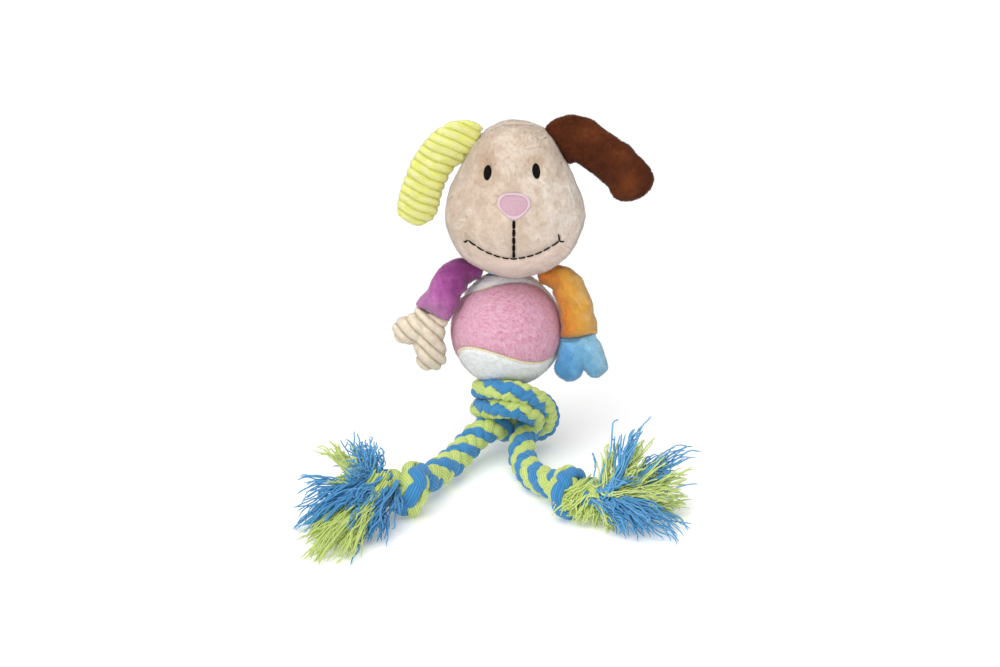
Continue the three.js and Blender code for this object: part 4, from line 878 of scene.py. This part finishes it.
def head_colour_and_painted_light(points):
    """Beige with painted light down the middle, to the right and under the eyes, painted shade at the left temple and
    side and above the eyes and the nose, warmer at the chin, and paler and tan patches at random.
    """
    where = points - HEAD_CENTRE
    colour = np.broadcast_to(rgb(BEIGE), points.shape)
    patch = 0.2 * mottle(where, 12, 71) + 0.08 * mottle(where, 4, 72)
    pale = spots(where, PAINTED_LIGHT_SPOTS)
    tan = spots(where, PAINTED_SHADE_SPOTS)
    # Painted highlight under each eye, where the plush bulges, and painted shade above it, where the plush dips in
    for (x, z), _ in EYES:
        pale = pale + 0.4 * bump_at(points, (x, -25, z - 10), (7, 30, 5))
        tan = tan + 0.75 * bump_at(points, (x + 1, -25, z + 5), (5, 30, 4.5))
    # Painted shade along the top of the nose
    tan = tan + 0.45 * bump_at(points, (NOSE[0], -30, NOSE[1] + 10), (11, 40, 3.6))
    warm = spots(where, WARM_SPOTS)
    colour = blend_colours(colour, rgb(BEIGE_PALE_AND_LIT), pale + patch)
    colour = blend_colours(colour, rgb(BEIGE_TAN_AND_SHADED), 0.8 * tan - 0.4 * patch)
    return blend_colours(colour, rgb(BEIGE_WARM), warm + 0.3 * patch * warm)


PLUSH = {"Roughness": 0.95, "Sheen_Weight": 0.55, "Sheen_Roughness": 0.5, "Specular_IOR_Level": 0.15}
DARK_PLUSH = {**PLUSH, "Sheen_Weight": 0.15}


def plush(name, finish=PLUSH):
    return material(name, fibres(PLUSH_FIBRE, PILE_RELIEF), **finish)


head_piece = napped("plush_head", skin, skin_quads, (plush("plush_pile_beige"),), head_colour_and_painted_light, HEAD_PILE, 7,
                    under_stitches)
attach(head_piece, "head")
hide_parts("head_front_panel", "head_back_panel")

# The face is embroidered: satin-stitched black eyes, a back-stitched black mouth, and a patch of fine woven pink
# cloth for the nose, edged with pale pink satin stitch.
THREAD_RADIUS = 0.24
EYE_THREAD, MOUTH_THREAD, BORDER_THREAD = THREAD_RADIUS * 1.15, 0.46, 0.3
EYE_STITCHES, MOUTH_STITCHES, LIP_STITCHES, NOSE_STITCHES = 20, 11, 5, 96
BORDER_WIDTH = 1.3
# How far the threads stand off the plush, and how much higher each stitch arches between its two ends
THREAD_STAND, BORDER_STAND = 0.15, 0.3
MOUTH_ARCH, LIP_ARCH = (0, 0.35, 0.35, 0), (0, 0.4, 0.4, 0)
CORNER_ARCH, BORDER_ARCH = (0.2, 0.4, 0.4, 0), (0, 0.55, 0.6, 0.2)
THREAD_RELIEF = 0.06 * MM
WEAVE_PITCH, WEAVE_RELIEF = 0.95, 0.12 * MM
NOSE_PINK = "#d8b0be"


def stitches(name, lines, thickness, finish):
    """Short threads laid on the face, each along its own few points."""
    parts = []
    around = np.arange(8) * math.pi / 4
    for points in lines:
        line, run = smooth_route(points, 0.35)
        across, up = frames(line, (0.0, 1.0, 0.0))
        ends = np.minimum(run, run[-1] - run) / thickness
        radius = thickness * np.sqrt(np.clip(1 - (1 - np.minimum(ends, 1)) ** 2, 0.02, 1))
        grid = tube(line, radius, around, across, up)
        uv = np.dstack(np.broadcast_arrays(np.arange(8)[None] / 8.0, run[:, None]))
        parts.append((grid * MM, uv, True, 0))
    made = mesh_piece(name, parts, (finish,))
    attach(made, "head")
    return made


def thread(colour):
    """Glossy twisted thread: a fine slanting ply along each stitch."""
    def draw(tree):
        place = add(tree, "UVMap", uv_map="thread")
        twist = add(tree, "TexWave", {"Vector": place, "Scale": 1.6, "Distortion": 0.4}, bands_direction="DIAGONAL")
        shade = add(tree, "HueSaturation", {"Color": linear(colour), "Value": remap(tree, twist, 0.8, 1.1)})
        return shade, maths(tree, "MULTIPLY", twist, THREAD_RELIEF)
    return draw


SATIN = {"Roughness": 0.55, "Specular_IOR_Level": 0.1}
black_thread = material("satin_thread_black", thread("#0b0908"), **SATIN)
pink_thread = material("satin_thread_pale_pink", thread("#efd5de"), **SATIN)
for side, ((ex, ez), lean) in zip(("left", "right"), EYES):
    a = math.radians(lean)
    lines = []
    for v in np.linspace(-1, 1, EYE_STITCHES) * (EYE_HALF[1] - THREAD_RADIUS):
        half = EYE_HALF[0] * math.sqrt(max(0.04, 1 - (v / EYE_HALF[1]) ** 2))
        row = []
        for u in np.linspace(-half, half, 5):
            crown = 0.75 * (1 - (u / half) ** 2) * (1 - 0.5 * (v / EYE_HALF[1]) ** 2) + 0.15
            slant = 0.25 * u
            x = ex + u * math.cos(a) - (v + slant) * math.sin(a)
            z = ez + u * math.sin(a) + (v + slant) * math.cos(a)
            row.append(on_face(x, z, crown))
        lines.append(row)
    eye = stitches(f"satin_eye_{side}", lines, EYE_THREAD, black_thread)
    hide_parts(f"eye_{side}")

lines = []
places = np.linspace(-MOUTH_HALF_WIDTH, MOUTH_HALF_WIDTH, MOUTH_STITCHES + 1)
for a, b in zip(places, places[1:]):
    xs = FACE_MIDDLE + np.linspace(a + 0.25, b - 0.25, 4)
    lines.append([on_face(x, mouth_height(x), THREAD_STAND + h) for x, h in zip(xs, MOUTH_ARCH)])
heights = np.linspace(MOUTH_FOOT + 0.3, NOSE[1] - NOSE_HALF[1] - 0.4, LIP_STITCHES + 1)
for a, b in zip(heights, heights[1:]):
    for shift in (-0.45, 0.45):
        lines.append([on_face(FACE_MIDDLE + shift * (0.4 + 0.6 * math.sin(math.pi * t)), a + (b - a) * t,
                              THREAD_STAND + h)
                      for t, h in zip((0.02, 0.35, 0.65, 0.98), LIP_ARCH)])
corner_left, corner_right = FACE_MIDDLE - MOUTH_HALF_WIDTH, FACE_MIDDLE + MOUTH_HALF_WIDTH
corner = float(mouth_height(corner_left))
for x, dx, dz in ((corner_left, -2.6, -1.2), (corner_right, -0.6, 4.6), (corner_right, 3, -0.6)):
    lines.append([on_face(x + dx * t, corner + dz * t, THREAD_STAND + h)
                  for t, h in zip((0, 0.35, 0.65, 1), CORNER_ARCH)])
mouth = stitches("backstitched_mouth", lines, MOUTH_THREAD, black_thread)
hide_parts("mouth_stitch")


def nose_edge(angle, inset):
    """The rounded triangle of the nose, wide at the top, at an angle round its middle."""
    c, s = np.cos(angle), np.sin(angle)
    reach = 1 / (np.abs(c) ** 2.5 + np.abs(s) ** 2.5) ** 0.4
    narrow = 1 - 0.56 * np.clip(-s, 0, 1) ** 1.15 + 0.03 * np.clip(s, 0, 1)
    return (NOSE[0] + (NOSE_HALF[0] - inset) * c * reach * narrow,
            NOSE[1] + 0.4 + (NOSE_HALF[1] - inset) * s * reach * (1 + 0.03 * np.cos(2 * angle)))


lines = []
for angle in np.linspace(0, 2 * math.pi, NOSE_STITCHES, endpoint=False):
    (xo, zo), (xi, zi) = nose_edge(angle, -0.2), nose_edge(angle + 0.05, BORDER_WIDTH + 0.2)
    lines.append([on_face(xo + (xi - xo) * t, zo + (zi - zo) * t, BORDER_STAND + h)
                  for t, h in zip((0, 0.3, 0.7, 1), BORDER_ARCH)])
border = stitches("satin_nose_border", lines, BORDER_THREAD, pink_thread)
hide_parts("nose_border")


def woven_pink(tree):
    """Fine plain weave, two tones of pink thread that cross, with a pale gap between threads."""
    waves = [maths(tree, "SINE", maths(tree, "MULTIPLY", place, 2 * math.pi / WEAVE_PITCH))
             for place in thread_place(tree)]
    weave, ribs = maths(tree, "MULTIPLY", *waves), maths(tree, "MAXIMUM", *waves)
    level = maths(tree, "MULTIPLY", remap(tree, weave, 0.9, 1.05, -1.0), remap(tree, ribs, 0.86, 1.08, -1.0))
    shade = add(tree, "HueSaturation", {"Color": linear(NOSE_PINK), "Value": level})
    return shade, maths(tree, "MULTIPLY", ribs, WEAVE_RELIEF)


pink_weave = material("plain_weave_pink", woven_pink, Roughness=0.7, Sheen_Weight=0.15, Specular_IOR_Level=0.3)
rings, around = np.linspace(0, 1, 12), np.linspace(0, 2 * math.pi, 72, endpoint=False)
patch = np.zeros((12, 72, 3))
patch_uv = np.zeros((12, 72, 2))
for i, share in enumerate(rings):
    for j, angle in enumerate(around):
        x, z = nose_edge(angle, BORDER_WIDTH * 0.7)
        patch_uv[i, j] = NOSE[0] + (x - NOSE[0]) * share, NOSE[1] + 0.4 + (z - NOSE[1] - 0.4) * share
        patch[i, j] = on_face(*patch_uv[i, j], 0.9 - 0.5 * share ** 6)
nose = mesh_piece("woven_nose_patch", [(patch * MM, patch_uv, True, 0)], (pink_weave,))
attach(nose, "head")
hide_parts("nose_patch")

# Inside the head: polyester wadding, off-white and matt with a loose fibrous surface, and a white plastic squeaker
wadding = plain_finish("polyester_wadding_white", "#f1f1ee", 0.8 * MM, 0.3 * MM, Roughness=0.95)
squeaker_plastic = plain_finish("blown_plastic_white", "#e9e9e4", 3 * MM, 0.02 * MM, Roughness=0.35)
finish_node("head_stuffing", wadding)
finish_node("squeaker", squeaker_plastic)

# The ears: each is two panels sewn face to face, turned and barely filled, so that it droops from its seam in the
# crown. The left one is fuzzy wide-wale corduroy in lime green, the right one dark brown plush.
LIME_EAR_PLACE, BROWN_EAR_PLACE = (-18.6, 3, 187.2), (29.4, 3, 187.89)
LIME_EAR_SPINE = [(0, 0, 0), (.09, 0, .04), (.22, 0, 0), (.35, 0, -.13), (.435, 0, -.31), (.49, 0, -.51),
                  (.51, 0, -.7)]
BROWN_EAR_SPINE = [(-.02, 0, -.02), (.085, 0, .05), (.2, 0, .05), (.34, 0, -.04), (.49, 0, -.145), (.625, 0, -.285),
                   (.72, 0, -.5)]
EAR_WIDTHS = [1, 1.08, 1, .95, .96, .98, 1, 1]
EAR_DEPTHS = [.5, .8, 1, 1, 1, 1, .8, .3]
EAR_ROUNDING, EAR_TIP, EAR_SEAM = 6, 11, 3
LIMB_VOXEL = 0.55
# The way that the ribs follow each other, the seed of their waver and their pitch
LIME_WALE, LIME_WALE_HEIGHT = ((0.42, 0, 0.91), 51, 5.2), 1.0
LIME_PILE = (30000, 0.9, 0.24, 0.5, 0.5, 0.08, (-0.5, -0.1, -1))
BROWN_PILE = (30000, 1.15, 0.3, 0.7, 0.4, 0.12, (0.6, -0.1, -0.8))
# Lime corduroy on its ribs, its painted highlight on the rib tops and its painted shade in the creases
LIME, LIME_RIB_HIGHLIGHT, LIME_CREASE_SHADE = "#f2f286", "#fdfcc4", "#c8ce5c"
# Brown plush, its painted highlight, and its darker patches
BROWN, BROWN_HIGHLIGHT, BROWN_DEEP = "#63311a", "#8a4b26", "#472111"
# Painted highlights on the brown ear: how strong, where, and how far they reach
BROWN_EAR_TOP_HIGHLIGHT = [(1, (48, -2, 196), (12, 30, 5)), (1, (66, -2, 183), (8, 30, 5))]
BROWN_EAR_EDGE_HIGHLIGHT = [(1, (70, -2, 166), (6, 30, 8)), (0.6, (58, 0, 160), (5, 30, 4))]


def lobe(place, spine, length, side, width, depth, widths, depths, rounding, tip=0.0):
    """A flat sleeve round a bent spine, whose ends close through the thickness, as a grid of points. The far end
    is rounded in outline to a radius of tip."""
    line, run = smooth_route([np.array(place) + length * np.array((side * out, -forward, up))
                              for out, forward, up in spine], 0.4)
    t = (1 - np.cos(np.linspace(0, math.pi, 64))) / 2
    centre = np.stack([np.interp(t * run[-1], run, line[:, k]) for k in range(3)], 1)
    across = unit(np.cross(np.gradient(centre, axis=0), (0.0, 1.0, 0.0)))
    inset = 1 - np.minimum(1, np.minimum(t, 1 - t) * run[-1] / rounding)
    half_width = width / 2 * np.maximum(0, smooth_shares(widths, t))
    if tip:
        nose_in = 1 - np.minimum(1, (1 - t) * run[-1] / tip)
        half_width = half_width * np.sqrt(np.maximum(0, 1 - nose_in ** 2))
    half_depth = depth / 2 * np.maximum(0, smooth_shares(depths, t)) * np.sqrt(np.maximum(0, 1 - inset ** 2))
    turn = np.linspace(0, 2 * math.pi, 56, endpoint=False)
    return centre[:, None] + (half_width[:, None] * np.cos(turn))[..., None] * across[:, None] + (
        half_depth[:, None] * np.sin(turn))[..., None] * np.array((0.0, 1.0, 0.0))


def seam_groove(points, normal, middle, depth=0.7, width=1.1):
    """The stitched edge between front and back panels draws the cloth in."""
    edge = np.exp(-((points[:, 1] - middle) / width) ** 2)
    return -depth * edge * (1 - 0.6 * np.abs(normal[:, 1]))


def wales(points, direction, seed, pitch):
    """How high on a rib each point is, from 0 in a crease to 1."""
    along = points @ unit(np.array(direction, float)) / pitch + 0.1 * mottle(points, 22, seed)
    return np.abs(np.sin(math.pi * along)) ** 0.7


def lumpy(seam, groove, *lumps, wale=None, wale_height=0.0):
    """The shape of stuffed cloth: soft lumps, each (height, size, seed), its ribs if it has any, and its seam."""
    def shape(points, normal):
        swell = sum(height * mottle(points, size, seed) for height, size, seed in lumps)
        if wale:
            swell = wale_height * (wales(points, *wale) - 0.6) + swell
        return swell + seam_groove(points, normal, seam, groove)
    return shape


def limb(name, body, lobes, shape, colour_and_painted_light, materials, pile, seed, nodes, sides=None, smoothing=5):
    """A sewn, filled form: its lobes joined, its surface shaped, and its pile added."""
    points, quads = sewn_form(name + "_form", lobes, LIMB_VOXEL, smoothing)
    normal = surface_normals(points, quads)
    points = points + normal * shape(points, normal)[:, None]
    made = napped(name, points, quads, materials, colour_and_painted_light, pile, seed, None, sides)
    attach(made, body)
    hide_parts(*nodes)


def corduroy(name):
    return material(name, fibres(WALE_FIBRE, PILE_RELIEF), **PLUSH)


def lime_colour_and_painted_light(points):
    rib = wales(points, *LIME_WALE)
    # Painted shade in the creases between ribs and a painted highlight along the rib tops
    colour = blend_colours(rgb(LIME_CREASE_SHADE), rgb(LIME), 1.25 * rib ** 0.7 + 0.06)
    return blend_colours(colour, rgb(LIME_RIB_HIGHLIGHT), 0.55 * rib ** 2 * (0.6 + 0.5 * mottle(points, 7, 53)))


limb("corduroy_ear_lime", "ear_lime",
     [lobe(LIME_EAR_PLACE, LIME_EAR_SPINE, 68, -1, 24, 8.5, EAR_WIDTHS, EAR_DEPTHS, EAR_ROUNDING, EAR_TIP)],
     lumpy(EAR_SEAM, 0.4, (0.35, 16, 52), wale=LIME_WALE, wale_height=LIME_WALE_HEIGHT), lime_colour_and_painted_light,
     (corduroy("wide_wale_corduroy_lime"),), LIME_PILE, 54, ("ear_lime_front", "ear_lime_back"))


def brown_colour_and_painted_highlight(points):
    """Dark in patches, with a painted highlight along the top and the lower right edge."""
    patch = 0.5 * mottle(points, 7, 57) + 0.4 * mottle(points, 1.6, 58)
    colour = blend_colours(rgb(BROWN), rgb(BROWN_DEEP), 0.3 + 0.7 * patch)
    top = spots(points, BROWN_EAR_TOP_HIGHLIGHT)
    painted_highlight = 0.4 * top + 0.7 * spots(points, BROWN_EAR_EDGE_HIGHLIGHT) + 0.5 * np.maximum(0, patch) * top + 0.12 * patch
    return blend_colours(colour, rgb(BROWN_HIGHLIGHT), painted_highlight)


limb("plush_ear_brown", "ear_brown",
     [lobe(BROWN_EAR_PLACE, BROWN_EAR_SPINE, 65, 1, 27, 9.5, EAR_WIDTHS, EAR_DEPTHS, EAR_ROUNDING, EAR_TIP)],
     lumpy(EAR_SEAM, 0.6, (0.55, 17, 55), (0.12, 6, 56)), brown_colour_and_painted_highlight, (plush("plush_pile_brown", DARK_PLUSH),),
     BROWN_PILE, 59, ("ear_brown_front", "ear_brown_back"))

# The arms and hands: stuffed plush sleeves sewn into the neck seam, each with a mitten whose palm and thumb are
# one outline. The left mitten is cream wide-wale corduroy; its back is painted as the same cream in shade, tinted by
# light reflected from the pink ball.
LEFT_ARM_PLACE, RIGHT_ARM_PLACE = (-21.2, -2, 113.25), (24.6, -2, 110.35)
LEFT_HAND_PLACE, RIGHT_HAND_PLACE = (-44.04, -12.14, 90.18), (41.4, -12.11, 76.3)
LEFT_ARM_SPINE = [(-.17, -.02, -.01), (0, 0, 0), (.17, .11, -.02), (.37, .19, -.19), (.5, .25, -.42),
                  (.62, .28, -.63)]
RIGHT_ARM_SPINE = [(-.14, -.02, -.01), (0, 0, 0), (.17, .1, -.035), (.31, .17, -.225), (.4, .22, -.51),
                   (.43, .24, -.8)]
ARM_WIDTHS = [.5, .68, .92, .97, .96, 1, 1.08]
ARM_DEPTHS = [.6, .85, 1, .95, .95, 1, .85]
LEFT_PALM = [(0, 0, 0), (.05, .01, -.13), (.06, .02, -.4), (.03, .02, -.68), (-.01, .01, -.98)]
LEFT_PALM_WIDTHS = [1.1, 1, .95, .92, .9]
LEFT_THUMB = [(.1, .02, -.13), (.36, .03, -.26), (.64, .03, -.345)]
RIGHT_PALM = [(0, 0, 0), (.01, .01, -.13), (-.1, .02, -.46), (-.23, .02, -.96)]
RIGHT_PALM_WIDTHS = [1.1, 1, .88, .86, .84]
RIGHT_THUMB = [(.14, .01, -.06), (.32, .03, -.44), (.47, .03, -.87)]
THUMB_WIDTHS = [.8, .95, 1, .98, .95]
LOBE_DEPTHS = [.8, 1, 1, .9, .4]
ARM_SEAM, HAND_SEAM = -6, -11.6
CREAM_WALE, CREAM_WALE_HEIGHT = ((0.72, 0, 0.69), 81, 6), 1.8
PURPLE_PILE = (22000, 1.1, 0.3, 0.7, 0.42, 0.12, (-0.4, -0.1, -0.9))
ORANGE_PILE = (24000, 1.1, 0.3, 0.7, 0.42, 0.12, (0.3, -0.1, -1))
CREAM_PILE = (24000, 0.7, 0.24, 0.5, 0.4, 0.05, (-0.5, -0.1, -0.8))
BLUE_PILE = (22000, 0.9, 0.28, 0.7, 0.4, 0.1, (0.3, -0.1, -1))
# Each plush's own colour, its colour in painted shade and its colour in painted light
PURPLES = ("#c066b0", "#97458a", "#cf87c0")
ORANGES = ("#ffb04a", "#f0903c", "#ffc880")
BLUES = ("#86c6f6", "#62ade6", "#aedaf8")
# Cream corduroy, its painted shade in the creases, and the cream painted in shade and tinted pink by reflected light
# for the back panel
CREAM, CREAM_CREASE_SHADE, CREAM_BACK_SHADE = "#efdfc9", "#b08c62", "#dea284"


def shaded(colours, lumps, edge, painted_shade_by, painted_light_by):
    """Plush with painted shade on one side and painted light on the other of an edge (x, slope, z, width), in
    patches. lumps are (amount, size, seed). painted_shade_by and painted_light_by are the shares of those colours: a
    fixed one, one by the place across the edge and one by the patches."""
    own, deep, light = (rgb(colour) for colour in colours)
    x, slope, z, width = edge

    def colour_and_painted_light(points):
        patch = sum(amount * mottle(points, size, seed) for amount, size, seed in lumps)
        across = (points[:, 0] - x + slope * (points[:, 2] - z)) / width
        colour = blend_colours(own, deep, painted_shade_by[0] + painted_shade_by[1] * across + painted_shade_by[2] * patch)
        return blend_colours(colour, light, painted_light_by[0] + painted_light_by[1] * across + painted_light_by[2] * patch)
    return colour_and_painted_light


# Painted light on the purple sleeve's left edge and painted shade on its right; painted light on the orange sleeve's
# right side and painted shade on its left
limb("plush_arm_purple", "arm_purple",
     [lobe(LEFT_ARM_PLACE, LEFT_ARM_SPINE, 36, -1, 20.5, 15, ARM_WIDTHS, ARM_DEPTHS, 5)],
     lumpy(ARM_SEAM, 0.4, (0.6, 14, 61), (0.08, 6, 62)),
     shaded(PURPLES, ((0.45, 6, 63), (0.5, 1.5, 64)), (-33, 0.75, 102, 9), (0.1, 0.7, 0.5), (-0.15, -0.8, 0.5)),
     (plush("plush_pile_purple"),), PURPLE_PILE, 65, ("arm_purple",))
limb("plush_arm_orange", "arm_orange",
     [lobe(RIGHT_ARM_PLACE, RIGHT_ARM_SPINE, 42, 1, 20, 15, ARM_WIDTHS, ARM_DEPTHS, 5)],
     lumpy(ARM_SEAM, 0.4, (0.6, 14, 66), (0.08, 6, 67)),
     shaded(ORANGES, ((0.4, 8, 67), (0.45, 1.6, 68)), (40, 0.35, 95, 9), (-0.1, -0.9, 0.6), (-0.05, 0.7, 0.5)),
     (plush("plush_pile_orange"),), ORANGE_PILE, 69, ("arm_orange",))


def cream_colour_and_painted_shade(points):
    # The back panel is the same cream painted in shade, tinted by light reflected from the pink ball
    crest = np.where((points[:, 1] > HAND_SEAM)[:, None], rgb(CREAM_BACK_SHADE), rgb(CREAM))
    # Painted shade in the creases between ribs
    colour = blend_colours(rgb(CREAM_CREASE_SHADE), crest, 1.5 * wales(points, *CREAM_WALE) ** 0.6)
    return colour * (1 + 0.05 * mottle(points, 5, 83))[:, None]


limb("corduroy_hand_cream", "hand_cream",
     [lobe(LEFT_HAND_PLACE, LEFT_PALM, 36, -1, 19, 12, LEFT_PALM_WIDTHS, LOBE_DEPTHS, 5, 8),
      lobe(LEFT_HAND_PLACE, LEFT_THUMB, 36, -1, 16, 12, THUMB_WIDTHS, LOBE_DEPTHS, 5, 7)],
     lumpy(HAND_SEAM, 0.5, (0.2, 14, 82), wale=CREAM_WALE, wale_height=CREAM_WALE_HEIGHT), cream_colour_and_painted_shade,
     (corduroy("wide_wale_corduroy_cream"), corduroy("wide_wale_corduroy_cream_in_shade")), CREAM_PILE, 84,
     ("hand_cream_front", "hand_cream_back"), lambda centre: centre[:, 1] > HAND_SEAM, 10)
# Painted light on the blue mitten's right side and painted shade on its left
limb("plush_hand_blue", "hand_blue",
     [lobe(RIGHT_HAND_PLACE, RIGHT_PALM, 29.3, 1, 20, 12, RIGHT_PALM_WIDTHS, LOBE_DEPTHS, 5, 7.5),
      lobe(RIGHT_HAND_PLACE, RIGHT_THUMB, 29, 1, 15, 12, THUMB_WIDTHS, LOBE_DEPTHS, 5, 6.5)],
     lumpy(HAND_SEAM, 0.5, (0.35, 12, 85), (0.1, 5, 86)),
     shaded(BLUES, ((0.4, 6, 87), (0.4, 1.5, 88)), (46, 0.5, 62, 13), (-0.1, -0.9, 0.6), (-0.05, 0.95, 0.5)),
     (plush("plush_pile_blue"),), BLUE_PILE, 89, ("hand_blue_front", "hand_blue_back"), None, 14)
